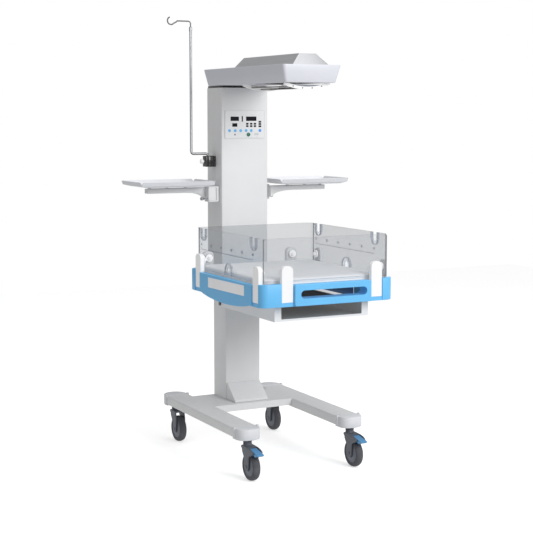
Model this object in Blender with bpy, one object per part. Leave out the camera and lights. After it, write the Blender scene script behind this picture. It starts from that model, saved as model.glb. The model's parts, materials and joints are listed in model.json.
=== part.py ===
"""Infant radiant warmer on casters, in metres and at real size, with +Z up and the bed's foot end at -Y."""

import math

import bmesh
import bpy
from mathutils import Matrix, Vector

# Fits
SEAT_GAP = 0.0003
RUNNING_GAP = 0.0006
PIN_GAP = 0.0004

# Casters
WHEEL_DIAMETER = 0.125
TYRE_WIDTH = 0.035
TYRE_DEPTH = 0.019
CASTER_TRAIL = 0.037
CASTER_HEIGHT = 0.177
STEM_DIAMETER = 0.012
STEM_INSERT = 0.033
AXLE_DIAMETER = 0.008
FORK_CHEEK = 0.0055
FORK_SIDE_GAP = 0.0022
CROWN_LOW = 0.1415
CROWN_HIGH = 0.1510
CROWN_REAR = 0.0150
CROWN_FRONT = 0.0475
COLLAR_DIAMETER = 0.038
COLLAR_HIGH = 0.1685
RING_DIAMETER = 0.034
ARM_REAR = 0.0165
ARM_FRONT = 0.0597
AXLE_BOSS_RADIUS = 0.019
CHEEK_REAR_EDGE = ((0.0060, 0.1335), (0.0045, 0.1240), (-0.0100, 0.1040), (-0.0165, 0.0900))
CHEEK_HORN = (
    (0.0597, 0.1080),
    (0.0660, 0.1150),
    (0.0880, 0.1220),
    (0.0985, 0.1310),
    (0.0970, 0.1380),
    (0.0800, 0.1450),
)
CHEEK_PLAIN = ((0.0597, 0.1080), (0.0560, 0.1250), (0.0520, 0.1390))
CROWN_NOSE = (0.0560, 0.1490)
PEDAL_WIDTH = 0.034
PEDAL_REACH = 0.128
PEDAL_HINGE_OUT = 0.0565
PEDAL_HINGE_Z = 0.1385
PEDAL_BARREL = 0.0075
PEDAL_TIP_Z = 0.1290
PEDAL_TIP_DEPTH = 0.008
PEDAL_BELLY = (0.1060, 0.1185)
PEDAL_PIN_RADIUS = 0.003

# Base
LEG_SPACING = 0.5165
LEG_WIDTH = 0.1125
LEG_TOP = 0.225
LEG_HEIGHT = 0.0435
LEG_FRONT = -0.268
LEG_REAR = 0.4758
LEG_EDGE_RADIUS = 0.006
SHEET = 0.0025
CAP_TIP_OUT = 0.068
CAP_CORNER_RADIUS = 0.045
CAP_REAR_TIP_OUT = 0.083
CAP_REAR_RADIUS = 0.0555
CAP_STEM_OUT = 0.025
CAP_PLUG = 0.022
CAP_RISE = 0.0012
CAP_EAR_LENGTH = 0.016
CAP_EAR_PROUD = 0.005
CAP_EAR_RISE = 0.0035
CAP_EDGE = 0.003
CROSSBAR_FRONT = 0.160
CROSSBAR_REAR = 0.418
CROSSBAR_HEIGHT = 0.033

# Columns
COLUMN_Y = 0.3365
UPPER_WIDTH = 0.241
UPPER_DEPTH = 0.161
UPPER_TOP = 1.7057
LOWER_WIDTH = 0.1824
LOWER_DEPTH = 0.135
LOWER_REAR = 0.416
COLUMN_SPLIT = 0.830
COLUMN_RADIUS = 0.005
JOINT_COLLAR = 0.030
GUSSET_HALF_WIDTH = 0.087
GUSSET_HEIGHT = 0.078
GUSSET_REACH = 0.094
GUSSET_TOP_DEPTH = 0.010
GUSSET_TOE = 0.009

# Control panel
PANEL_WIDTH = 0.209
PANEL_LOW = 1.470
PANEL_HIGH = 1.602
PANEL_SHEET = 0.003
PANEL_RADIUS = 0.006
WINDOW_DEPTH = 0.0008
WINDOW_SHARES = (
    (0.245, 0.209, 0.697, 0.155),
    (0.434, 0.030, 0.693, 0.201),
    (0.657, 0.261, 0.697, 0.159),
    (0.246, 0.125, 0.477, 0.125),
)

# Hood
HOOD_LOW = 1.716
HOOD_HIGH = 1.792
HOOD_LOW_WIDTH = 0.2486
HOOD_HIGH_WIDTH = 0.2858
HOOD_LOW_FRONT = -0.386
HOOD_LOW_REAR = 0.403
HOOD_HIGH_FRONT = -0.401
HOOD_HIGH_REAR = 0.411
HOOD_CORNER = 0.014
RIDGE_HIGH = 1.840
RIDGE_LOW_WIDTH = 0.176
RIDGE_HIGH_WIDTH = 0.082
RIDGE_LOW_FRONT = -0.386
RIDGE_LOW_REAR = 0.194
RIDGE_HIGH_FRONT = -0.356
RIDGE_HIGH_REAR = 0.184
RIDGE_CORNER = 0.006
HEAT_FRONT = -0.353
HEAT_REAR = 0.048
HEAT_HALF_WIDTH = 0.093
SPACER_INSET = 0.003
PLUG_DEPTH = 0.016
GUARD_HALF_CHORD = 0.1126
GUARD_RISE = 0.0222
GUARD_DROP = 0.0285
GUARD_BAND = 0.013
GUARD_DEPTH = 0.010
GUARD_PLATE = 0.0015
GUARD_WIRES = 4
GUARD_WIRE_SPREAD = 0.62
GUARD_WIRE_RADIUS = 0.002
REFLECTOR_HALF_CHORD = 0.106
REFLECTOR_RISE = 0.048
REFLECTOR_SHEET = 0.0015
HEATER_RADIUS = 0.0045
HEATER_HALF_GAP = 0.034

# Shelves
SHELF_PIN_X = 0.157
KNUCKLE_OFFSET = 0.032
PIN_FORWARD = 0.016
SHELF_PIN_RADIUS = 0.004
KNUCKLE_LENGTH = 0.041
KNUCKLE_DEPTH = 0.050
KNUCKLE_LOW = 1.1815
KNUCKLE_HIGH = 1.2400
SHELF_SWING = (-18, 45)
MOUNT_PLATE = 0.0155
MOUNT_LUG = 0.006
ARM_WIDTH = 0.044
ARM_TIP_X = 0.467
ARM_TIP_LOW = 1.218
ARM_SWEEP_LENGTH = 0.105
TRAY_INNER_X = 0.168
TRAY_OUTER_X = 0.545
TRAY_DEPTH = 0.260
TRAY_BASE = 1.249
TRAY_FOOT = 1.2575
TRAY_RIM = 1.2745
TRAY_SHEET = 0.0016
TRAY_PAN_INSET_X = 0.044
TRAY_PAN_INSET_Y = 0.020
TRAY_FOOT_INSET = 0.009
TRAY_NOTCH = 0.015
PAD_RADIUS = 0.007
PAD_XS = (0.270, 0.365, 0.452)
LOCK_STEM_RADIUS = 0.0025
LOCK_KNOB_RADIUS = 0.007
LOCK_KNOB_LENGTH = 0.013
LOCK_STEM_OUT = 0.024
LOCK_RISE = 0.0085

# Infusion pole
CLAMP_DEPTH = 0.0507
CLAMP_WIDTH = 0.040
CLAMP_LOW = 1.337
CLAMP_HIGH = 1.388
CLAMP_Y = 0.339
POLE_ROOT_X = -0.152
POLE_X = -0.238
POLE_RADIUS = 0.00575
POLE_ARM_Z = 1.3985
POLE_TOP = 1.982
POLE_BEND = 0.012
POLE_SEAT = 1.345
HOOK_RADIUS = 0.0031
HOOK_DEPTH = 0.342
HOOK_RISE = 0.0285
HOOK_BEND = 0.012
HOOK_CURL_X = -0.336
HOOK_CURL_RADIUS = 0.0175
SLIDE_DEPTH = 0.370
KNOB_RADIUS = 0.009
KNOB_OUT = 0.019
KNOB_TIP_GAP = 0.0035
WING_SPAN = 0.026
WING_THICKNESS = 0.005
GROOVE_SHARES = (0.25, 0.5, 0.75)

# Bed frame
FRAME_HALF_WIDTH = 0.3225
FRAME_FRONT = -0.551
FRAME_REAR = 0.177
FRAME_LOW = 0.785
FRAME_WALL_TOP = 0.8735
BUMPER_TOP = 0.882
FRAME_CORNER = 0.036
FRAME_INNER = 0.0525
LEDGE_TOP = 0.802
RECESS_DEPTH = 0.0255
BELLY_LOW = 0.764
BELLY_PROUD = 0.002
SKIN = 0.004
HANDLE_LEFT_INSET = 0.156
HANDLE_RIGHT_INSET = 0.118
HANDLE_TOP = 0.8775
HANDLE_LOW = 0.7855
HANDLE_PROUD = 0.008
HANDLE_CORNER = 0.010
SLOT_LEFT_INSET = 0.1845
SLOT_RIGHT_INSET = 0.1395
SLOT_LOW = 0.8165
SLOT_HIGH = 0.8515
DECK_SEAT = 0.8577
DECK_THICKNESS = 0.0135
DECK_EDGE = 0.025
DECK_WALL = 0.003

# Guard panels and clips
GUARD_CENTRE = 0.0259
ACRYLIC = 0.005
GUARD_LOW = 0.884
GUARD_TOP = 1.070
GUARD_BEND = 0.030
GUARD_CORNER = 0.012
NOTCH_WIDTH = 0.044
NOTCH_DEPTH = 0.052
NOTCH_REAR_Y = 0.073
NOTCH_FRONT_Y = -0.433
ARCH_WIDTH = 0.066
ARCH_HEIGHT = 0.047
ARCH_Y = -0.186
CLIP_WIDTH = 0.054
CLIP_SIDE_GAP = 0.0015
CLIP_TOP = 0.955
CLIP_THICKNESS = 0.0201
CLIP_ROUND = 0.020
CLIP_DISC_RADIUS = 0.0175
CLIP_DISC_THICKNESS = 0.006
CLIP_BOLT_RADIUS = 0.004
CLIP_BOSS_RADIUS = 0.009
CLIP_BOSS_DEPTH = 0.007
CLIP_BOLT_Z = 0.926
CLIP_FAR_INSET = 0.1255
CLIP_NEAR_INSET = 0.0857
SIDE_CLIP_YS = (-0.494, 0.088)
HINGE_Z = 0.811
HINGE_OUT = 0.001

# Mattress
MATTRESS_GAP = 0.0055
MATTRESS_END_GAP = 0.0095
MATTRESS_TOP = 0.897
MATTRESS_CROWN = 0.004
MATTRESS_CORNER = 0.036
MATTRESS_WAIST = 0.003
MATTRESS_STEP = 0.055
MATTRESS_EDGE_SHARES = ((0.0, 0.32), (0.10, 0.12), (0.30, 0.02), (0.60, 0.0), (0.85, 0.09), (1.0, 0.36))
MATTRESS_TOP_SHARES = (0.75, 0.5, 0.25)

# Storage box and tilt
BOX_CENTRE = 0.0087
BOX_HALF_WIDTH = 0.2292
BOX_FRONT = -0.476
BOX_REAR = 0.042
BOX_LOW = 0.712
BOX_POST = 0.032
BOX_LIP = 0.0095
FLANGE_HALF_WIDTH = 0.283
LUG_END = 0.080
TILT_Y = 0.062
TILT_Z = 0.724
SHAFT_RADIUS = 0.006
SHAFT_HEAD_RADIUS = 0.0085
SHAFT_HEAD = 0.005
BRACKET_PLATE = 0.008
BRACKET_HALF_WIDTH = 0.086
BRACKET_LOW = 0.660
BRACKET_HIGH = 0.790
CHEEK_X = 0.076
CHEEK = 0.006
CHEEK_HIGH = 0.768
CHEEK_ROUND = 0.017
RUNNER_X = 0.1415
RUNNER_WIDTH = 0.039
RUNNER_LOW = 0.797
RUNNER_FRONT = -0.485
RUNNER_REAR = 0.055
CROSS_FRONT = -0.390
CROSS_REAR = -0.020
CROSS_DEPTH = 0.030
CROSS_THICKNESS = 0.005

ARC_STEPS = 6
WHEEL_STEPS = 28
MERGE_DISTANCE = 0.000001

COLUMN_FRONT = COLUMN_Y - UPPER_DEPTH / 2
COLUMN_BACK = COLUMN_Y + UPPER_DEPTH / 2
COLUMN_SIDE = UPPER_WIDTH / 2
LOWER_FRONT = LOWER_REAR - LOWER_DEPTH
LEG_X = LEG_SPACING / 2
LEG_LOW = LEG_TOP - LEG_HEIGHT
GUARD_X = FRAME_HALF_WIDTH - GUARD_CENTRE
GUARD_FRONT = FRAME_FRONT + GUARD_CENTRE
GUARD_REAR = FRAME_REAR - GUARD_CENTRE
CLIP_OUTER = GUARD_CENTRE - ACRYLIC / 2 - SEAT_GAP - CLIP_THICKNESS
CLIP_LOW = LEDGE_TOP + SEAT_GAP
HANDLE_X_RANGE = (HANDLE_LEFT_INSET - FRAME_HALF_WIDTH, FRAME_HALF_WIDTH - HANDLE_RIGHT_INSET)
SLOT_X_RANGE = (SLOT_LEFT_INSET - FRAME_HALF_WIDTH, FRAME_HALF_WIDTH - SLOT_RIGHT_INSET)
FRONT_CLIP_XS = (CLIP_FAR_INSET - FRAME_HALF_WIDTH, FRAME_HALF_WIDTH - CLIP_NEAR_INSET)
REAR_CLIP_XS = (CLIP_NEAR_INSET - FRAME_HALF_WIDTH, FRAME_HALF_WIDTH - CLIP_FAR_INSET)
HOOK_ARM_Z = POLE_TOP + HOOK_RISE

# Colours as red, green, blue, then roughness and metallic
FINISHES = {
    "warm_white": ((0.80, 0.80, 0.78), 0.42, 0.0),
    "cap_white": ((0.84, 0.84, 0.83), 0.5, 0.0),
    "hood_white": ((0.78, 0.79, 0.84), 0.38, 0.0),
    "brushed": ((0.42, 0.43, 0.45), 0.36, 0.9),
    "steel": ((0.55, 0.56, 0.58), 0.28, 1.0),
    "blue": ((0.10, 0.42, 0.78), 0.40, 0.0),
    "pedal_blue": ((0.08, 0.32, 0.62), 0.45, 0.0),
    "clip_white": ((0.88, 0.88, 0.88), 0.45, 0.0),
    "clear": ((0.86, 0.90, 0.93), 0.08, 0.0),
    "mattress": ((0.86, 0.87, 0.89), 0.6, 0.0),
    "caster_grey": ((0.075, 0.08, 0.095), 0.5, 0.0),
    "tyre_grey": ((0.045, 0.047, 0.052), 0.65, 0.0),
    "hub_grey": ((0.11, 0.115, 0.13), 0.5, 0.0),
    "black": ((0.02, 0.02, 0.022), 0.35, 0.0),
    "panel_grey": ((0.55, 0.60, 0.66), 0.4, 0.0),
    "heater": ((0.12, 0.10, 0.09), 0.5, 0.3),
}


def material(name):
    """The Principled material of one finish, made once."""
    made = bpy.data.materials.get(name)
    if made:
        return made
    colour, roughness, metallic = FINISHES[name]
    made = bpy.data.materials.new(name)
    made.use_nodes = True
    shader = made.node_tree.nodes["Principled BSDF"]
    shader.inputs["Base Color"].default_value = (*colour, 1)
    shader.inputs["Roughness"].default_value = roughness
    shader.inputs["Metallic"].default_value = metallic
    made.diffuse_color = (*colour, 1)
    return made


def new_object(name, bm, finish):
    """An object that holds this mesh, with its faces turned outwards."""
    bmesh.ops.remove_doubles(bm, verts=bm.verts, dist=MERGE_DISTANCE)
    bmesh.ops.recalc_face_normals(bm, faces=bm.faces)
    mesh = bpy.data.meshes.new(name)
    bm.to_mesh(mesh)
    bm.free()
    if finish:
        mesh.materials.append(material(finish))
    made = bpy.data.objects.new(name, mesh)
    bpy.context.scene.collection.objects.link(made)
    return made


def bake(obj):
    """Applies the modifiers of an object to its mesh."""
    graph = bpy.context.evaluated_depsgraph_get()
    mesh = bpy.data.meshes.new_from_object(obj.evaluated_get(graph))
    old = obj.data
    obj.modifiers.clear()
    obj.data = mesh
    bpy.data.meshes.remove(old)
    return obj


def combine(obj, others, operation):
    """Cuts the others from the object, or joins them to it, and removes them."""
    for other in others:
        step = obj.modifiers.new("step", "BOOLEAN")
        step.operation = operation
        step.solver = "EXACT"
        step.object = other
        bpy.context.view_layer.update()
        bake(obj)
        mesh = other.data
        bpy.data.objects.remove(other)
        bpy.data.meshes.remove(mesh)
    return obj


def cut(obj, *others):
    return combine(obj, others, "DIFFERENCE")


def join(obj, *others):
    return combine(obj, others, "UNION")


def soften(obj, width, segments=2, angle=math.radians(40)):
    """Rounds the sharp edges of an object."""
    step = obj.modifiers.new("soften", "BEVEL")
    step.width = width
    step.segments = segments
    step.limit_method = "ANGLE"
    step.angle_limit = angle
    bpy.context.view_layer.update()
    return bake(obj)


def place(axis, along, u, v):
    """A point from its height along an axis and its two coordinates across it."""
    if axis == "X":
        return (along, u, v)
    if axis == "Y":
        return (u, along, v)
    return (u, v, along)


def loft(name, rings, finish=None):
    """A closed solid through rings of points that all have the same count."""
    bm = bmesh.new()
    rows = [[bm.verts.new(point) for point in ring] for ring in rings]
    count = len(rows[0])
    for low, high in zip(rows, rows[1:]):
        for i in range(count):
            j = (i + 1) % count
            bm.faces.new((low[i], low[j], high[j], high[i]))
    bm.faces.new(rows[0][::-1])
    bm.faces.new(rows[-1])
    return new_object(name, bm, finish)


def prism(name, outline, axis, low, high, finish=None):
    """An outline in the two other axes, drawn out along one axis."""
    ends = (low, high)
    return loft(name, [[place(axis, end, u, v) for u, v in outline] for end in ends], finish)


def sleeve(name, outer, inner, axis, low, high, finish=None):
    """A tube between two outlines with as many points each, open at both ends."""
    bm = bmesh.new()
    loops = [
        [bm.verts.new(place(axis, end, u, v)) for u, v in outline]
        for outline, end in ((outer, low), (outer, high), (inner, high), (inner, low))
    ]
    count = len(outer)
    for first, second in zip(loops, loops[1:] + loops[:1]):
        for i in range(count):
            j = (i + 1) % count
            bm.faces.new((first[i], first[j], second[j], second[i]))
    return new_object(name, bm, finish)


def block(name, x_range, y_range, z_range, finish=None):
    """A plain box between three pairs of limits."""
    (x0, x1), (y0, y1), (z0, z1) = x_range, y_range, z_range
    outline = ((x0, y0), (x1, y0), (x1, y1), (x0, y1))
    return prism(name, outline, "Z", z0, z1, finish)


def arc(centre, radius, start, end, steps=ARC_STEPS):
    """Points on an arc in degrees, both ends included."""
    angles = [math.radians(start + (end - start) * i / steps) for i in range(steps + 1)]
    return [(centre[0] + radius * math.cos(a), centre[1] + radius * math.sin(a)) for a in angles]


def rounded(u_range, v_range, radii, steps=ARC_STEPS):
    """A rectangle with rounded corners, one radius for all or one each from low u, low v round."""
    (u0, u1), (v0, v1) = u_range, v_range
    if not isinstance(radii, tuple):
        radii = (radii,) * 4
    corners = ((u0, v0, 1, 1), (u1, v0, -1, 1), (u1, v1, -1, -1), (u0, v1, 1, -1))
    outline = []
    for quarter, ((u, v, inward_u, inward_v), radius) in enumerate(zip(corners, radii)):
        if not radius:
            outline.append((u, v))
            continue
        centre = (u + inward_u * radius, v + inward_v * radius)
        start = 180 + 90 * quarter
        outline += arc(centre, radius, start, start + 90, steps)
    return outline


def around(middle, width):
    """The limits of a width about its middle."""
    return (middle - width / 2, middle + width / 2)


def cylinder(name, axis, centre, radius, low, high, finish=None, steps=24):
    """A round bar along an axis, between two heights on it."""
    turns = [math.tau * i / steps for i in range(steps)]
    outline = [(centre[0] + radius * math.cos(t), centre[1] + radius * math.sin(t)) for t in turns]
    return prism(name, outline, axis, low, high, finish)


def turned(name, profile, axis, centre, finish=None, steps=WHEEL_STEPS):
    """A ring turned about an axis from a closed profile of radius and height."""
    bm = bmesh.new()
    loops = []
    for i in range(steps):
        u, v = (math.cos(math.tau * i / steps), math.sin(math.tau * i / steps))
        spoke = [(height, centre[0] + radius * u, centre[1] + radius * v) for radius, height in profile]
        loops.append([bm.verts.new(place(axis, *point)) for point in spoke])
    count = len(profile)
    for first, second in zip(loops, loops[1:] + loops[:1]):
        for i in range(count):
            j = (i + 1) % count
            bm.faces.new((first[i], first[j], second[j], second[i]))
    return new_object(name, bm, finish)


def bent_path(corners, radius, steps=ARC_STEPS):
    """A route through corners, each rounded to one radius where it has room."""
    points = [Vector(corners[0])]
    for before, corner, after in zip(corners, corners[1:], corners[2:]):
        corner = Vector(corner)
        back = (Vector(before) - corner).normalized()
        ahead = (Vector(after) - corner).normalized()
        half = back.angle(ahead) / 2
        reach = radius / math.tan(half)
        centre = corner + (back + ahead).normalized() * radius / math.sin(half)
        start = corner + back * reach - centre
        sweep = math.pi - 2 * half
        turn = back.cross(ahead).normalized()
        for i in range(steps + 1):
            points.append(centre + Matrix.Rotation(-sweep * i / steps, 3, turn) @ start)
    return points + [Vector(corners[-1])]


def rod(name, path, radius, finish=None, sides=12):
    """A round bar that follows a route, with flat ends."""
    path = [Vector(point) for point in path]
    last = len(path) - 1
    tangents = [(path[min(i + 1, last)] - path[max(i - 1, 0)]).normalized() for i in range(len(path))]
    side = tangents[0].orthogonal().normalized()
    turns = [math.tau * i / sides for i in range(sides)]
    rings = []
    for point, tangent in zip(path, tangents):
        side = (side - tangent * side.dot(tangent)).normalized()
        up = tangent.cross(side)
        rings.append(
            [
                point + (side * math.cos(turn) + up * math.sin(turn)) * radius
                for turn in turns
            ]
        )
    return loft(name, rings, finish)


def turn_about_column(obj):
    """Turns a piece half way round the column's upright centre line."""
    centre = Matrix.Translation((0, COLUMN_Y, 0))
    obj.data.transform(centre @ Matrix.Rotation(math.pi, 4, "Z") @ centre.inverted())
    return obj


def mirror_x(obj):
    """Turns a piece into its mirror image across the middle."""
    obj.data.transform(Matrix.Scale(-1, 4, (1, 0, 0)))
    obj.data.flip_normals()
    return obj


def on_axis(name, point, pieces):
    """Hangs the pieces from an empty on their joint's axis."""
    holder = bpy.data.objects.new(name, None)
    holder.location = point
    bpy.context.scene.collection.objects.link(holder)
    bpy.context.view_layer.update()
    for piece in pieces:
        keep = piece.matrix_world.copy()
        piece.parent = holder
        piece.matrix_parent_inverse = holder.matrix_world.inverted() @ keep
    return holder


# Base


def base_frame():
    """Two rolled legs joined by an open channel."""
    legs = []
    for side in (-1, 1):
        outer = rounded(around(side * LEG_X, LEG_WIDTH), (LEG_LOW, LEG_TOP), LEG_EDGE_RADIUS, 3)
        inner_x = around(side * LEG_X, LEG_WIDTH - 2 * SHEET)
        inner = rounded(inner_x, (LEG_LOW + SHEET, LEG_TOP - SHEET), LEG_EDGE_RADIUS - SHEET, 3)
        legs.append(sleeve("base_frame", outer, inner, "Y", LEG_FRONT, LEG_REAR, "warm_white"))
    inner_x = LEG_X - LEG_WIDTH / 2 + SHEET / 2
    bar_low = LEG_TOP - CROSSBAR_HEIGHT
    flush_x = inner_x + LEG_EDGE_RADIUS
    bar_y = (CROSSBAR_FRONT, CROSSBAR_REAR)
    bar_top = LEG_TOP - SHEET / 8
    flush = block("flush", (-flush_x, flush_x), bar_y, (LEG_TOP - SHEET * 3 / 2, bar_top))
    bar = block("bar", (-inner_x, inner_x), bar_y, (bar_low, bar_top))
    hollow_x = inner_x - 2 * SHEET
    hollow = block(
        "hollow",
        (-hollow_x, hollow_x),
        (CROSSBAR_FRONT + SHEET, CROSSBAR_REAR - SHEET),
        (bar_low - SHEET, LEG_TOP - SHEET),
    )
    return join(legs[0], cut(bar, hollow), legs[1], flush)


def leg_cap(name, side, front):
    """A moulded end block with two ears at its seam, a plug in the leg and a bore for the caster's stem."""
    face = LEG_FRONT - SEAT_GAP if front else LEG_REAR + SEAT_GAP
    out = -1 if front else 1
    tip_out = CAP_TIP_OUT if front else CAP_REAR_TIP_OUT
    corner = CAP_CORNER_RADIUS if front else CAP_REAR_RADIUS
    near, far = sorted((face, face + out * tip_out))
    radii = (corner, corner, 0, 0) if front else (0, 0, corner, corner)
    outline = rounded(around(side * LEG_X, LEG_WIDTH), (near, far), radii)
    top = LEG_TOP + CAP_RISE
    cap = prism(name, outline, "Z", CASTER_HEIGHT, top, "cap_white")
    soften(cap, CAP_EDGE)
    plug_wall = SHEET + PIN_GAP
    plug_x = around(side * LEG_X, LEG_WIDTH - 2 * plug_wall)
    plug_z = (LEG_LOW + plug_wall, LEG_TOP - plug_wall)
    plug_outline = rounded(plug_x, plug_z, LEG_EDGE_RADIUS - SHEET, 3)
    plug = prism("plug", plug_outline, "Y", *sorted((face - out * CAP_PLUG, face + out * CAP_PLUG)))
    ears = []
    for way in (-1, 1):
        ear_x = around(side * LEG_X + way * LEG_WIDTH / 2, CAP_EAR_PROUD * 2)
        ear_y = around(face + out * CAP_EAR_LENGTH / 2, CAP_EAR_LENGTH)
        ear_outline = rounded(ear_x, ear_y, CAP_EAR_PROUD / 2, 2)
        ears.append(prism("ear", ear_outline, "Z", CASTER_HEIGHT + CAP_EDGE, top + CAP_EAR_RISE))
    bore = cylinder(
        "bore",
        "Z",
        (side * LEG_X, stem_y(front)),
        STEM_DIAMETER / 2 + PIN_GAP,
        CASTER_HEIGHT - SHEET,
        CASTER_HEIGHT + STEM_INSERT + SHEET,
        None,
        16,
    )
    return cut(join(cap, plug, *ears), bore)


def stem_y(front):
    """Where a caster's upright stem stands."""
    if front:
        return LEG_FRONT - SEAT_GAP - CAP_STEM_OUT
    return LEG_REAR + SEAT_GAP + CAP_STEM_OUT


def fork_outline(stem, wheel_centre, front):
    """The side view of a caster fork: crown, horn or plain front edge, and the arm down to the axle."""
    rear = [(stem + out, z) for out, z in CHEEK_REAR_EDGE]
    boss = arc(wheel_centre, AXLE_BOSS_RADIUS, 10, -190, 8)
    edge = CHEEK_HORN if front else CHEEK_PLAIN
    nose = [(stem - out, z) for out, z in (*edge, CROWN_NOSE)]
    drop = (CROWN_HIGH - CROWN_LOW) / 2
    crown = [
        (stem - COLLAR_DIAMETER / 2, CROWN_HIGH),
        (stem + CROWN_REAR - drop, CROWN_HIGH),
        (stem + CROWN_REAR, CROWN_HIGH - drop),
        (stem + CROWN_REAR, CROWN_LOW),
    ]
    return [*rear, *boss, *nose, *crown]


def caster_fork(name, x, stem, centre, front):
    """The crown and two cheeks over the tyre, with the collar, the stem and the axle pin."""
    slot = TYRE_WIDTH + 2 * FORK_SIDE_GAP
    width = slot + 2 * FORK_CHEEK
    fork = prism(name, fork_outline(stem, centre, front), "X", *around(x, width), "caster_grey")
    soften(fork, FORK_CHEEK / 3, 1)
    past = PEDAL_REACH
    between = block("between", around(x, slot), (stem - past, stem + past), (0, CROWN_LOW))
    ahead = block("ahead", around(x, slot), (stem - past, stem - CROWN_FRONT), (0, CASTER_HEIGHT))
    cut(fork, between, ahead)
    ring_top = CASTER_HEIGHT - SEAT_GAP
    axis = (x, stem)
    collar = cylinder("collar", "Z", axis, COLLAR_DIAMETER / 2, CROWN_HIGH - SHEET, COLLAR_HIGH, None, 16)
    ring = cylinder("ring", "Z", axis, RING_DIAMETER / 2, COLLAR_HIGH - SHEET, ring_top, None, 16)
    pin = cylinder("pin", "Z", axis, STEM_DIAMETER / 2, ring_top - SHEET, ring_top + STEM_INSERT, None, 16)
    axle = cylinder("axle", "X", centre, AXLE_DIAMETER / 2, *around(x, slot + FORK_CHEEK), None, 16)
    return join(fork, collar, ring, pin, axle)


def caster(label, side, front):
    """A fork, a tyre and a hub, and on the front ones a brake pedal."""
    x = side * LEG_X
    stem = stem_y(front)
    radius = WHEEL_DIAMETER / 2
    centre = (stem - CASTER_TRAIL, radius)
    fork = caster_fork(f"caster_fork_{label}", x, stem, centre, front)
    tyre_inner = radius - TYRE_DEPTH
    half = TYRE_WIDTH / 2
    tread = [
        (tyre_inner, -half * 5 / 6),
        (radius - TYRE_DEPTH / 2, -half),
        (radius, -half / 3),
        (radius, half / 3),
        (radius - TYRE_DEPTH / 2, half),
        (tyre_inner, half * 5 / 6),
    ]
    tyre = turned(f"caster_tyre_{label}", [(r, x + h) for r, h in tread], "X", centre, "tyre_grey")
    rim = tyre_inner - SEAT_GAP
    bore = AXLE_DIAMETER / 2 + PIN_GAP
    dish = [(bore, half), (bore * 3, half), (rim * 5 / 6, half * 4 / 5), (rim, half * 4 / 5)]
    profile = [(r, x + h) for r, h in dish] + [(r, x - h) for r, h in dish[::-1]]
    hub = turned(f"caster_hub_{label}", profile, "X", centre, "hub_grey")
    pieces = [fork]
    if front:
        pieces.append(brake_pedal(f"brake_pedal_{label}", x, stem, fork))
    on_axis(f"swivel_axis_{label}", (x, stem, 0), pieces)
    on_axis(f"wheel_axis_{label}", (x, *centre), [tyre, hub])


def brake_pedal(name, x, stem, fork):
    """A foot lever on a pin between the fork's cheeks, sloping out over the tyre."""
    hinge = (stem - PEDAL_HINGE_OUT, PEDAL_HINGE_Z)
    tip = stem - PEDAL_REACH
    edge = PEDAL_TIP_DEPTH / 2
    belly = (stem - PEDAL_BELLY[0], PEDAL_BELLY[1])
    outline = [
        *arc(hinge, PEDAL_BARREL, -100, 90, 8),
        (tip + edge, PEDAL_TIP_Z + edge),
        (tip, PEDAL_TIP_Z),
        (tip + edge, PEDAL_TIP_Z - edge),
        belly,
    ]
    pedal = prism(name, outline, "X", *around(x, PEDAL_WIDTH), "pedal_blue")
    soften(pedal, edge / 3, 1)
    pin = cylinder("pin", "X", hinge, PEDAL_PIN_RADIUS, *around(x, PEDAL_WIDTH + 2 * FORK_CHEEK), None, 12)
    join(fork, pin)
    bore = cylinder("bore", "X", hinge, PEDAL_PIN_RADIUS + PIN_GAP, *around(x, PEDAL_WIDTH * 2), None, 12)
    return cut(pedal, bore)


# Columns


def lower_column():
    """The narrow rolled tube between the base and the bed."""
    x_range = around(0, LOWER_WIDTH)
    y_range = (LOWER_FRONT, LOWER_REAR)
    outer = rounded(x_range, y_range, COLUMN_RADIUS, 3)
    inner = rounded(
        around(0, LOWER_WIDTH - 2 * SHEET),
        (LOWER_FRONT + SHEET, LOWER_REAR - SHEET),
        COLUMN_RADIUS - SHEET,
        3,
    )
    return sleeve("lower_column", outer, inner, "Z", LEG_TOP + SEAT_GAP, COLUMN_SPLIT, "warm_white")


def column_gusset():
    """A folded sheet cover that slopes from the column's front down to the crossbar."""
    back = LOWER_FRONT - SEAT_GAP
    low = LEG_TOP + SEAT_GAP
    outline = [
        (back, low),
        (back, low + GUSSET_HEIGHT),
        (back - GUSSET_TOP_DEPTH, low + GUSSET_HEIGHT),
        (back - GUSSET_REACH, low + GUSSET_TOE),
        (back - GUSSET_REACH, low),
    ]
    cover = prism("column_gusset", outline, "X", -GUSSET_HALF_WIDTH, GUSSET_HALF_WIDTH, "warm_white")
    soften(cover, SHEET / 2, 1)
    inner = [
        (back + SHEET, low - SHEET),
        (back + SHEET, low + GUSSET_HEIGHT - SHEET),
        (back - GUSSET_TOP_DEPTH, low + GUSSET_HEIGHT - SHEET),
        (back - GUSSET_REACH + SHEET, low + GUSSET_TOE - SHEET),
        (back - GUSSET_REACH + SHEET, low - SHEET),
    ]
    hollow_x = GUSSET_HALF_WIDTH - SHEET
    return cut(cover, prism("hollow", inner, "X", -hollow_x, hollow_x))


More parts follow.
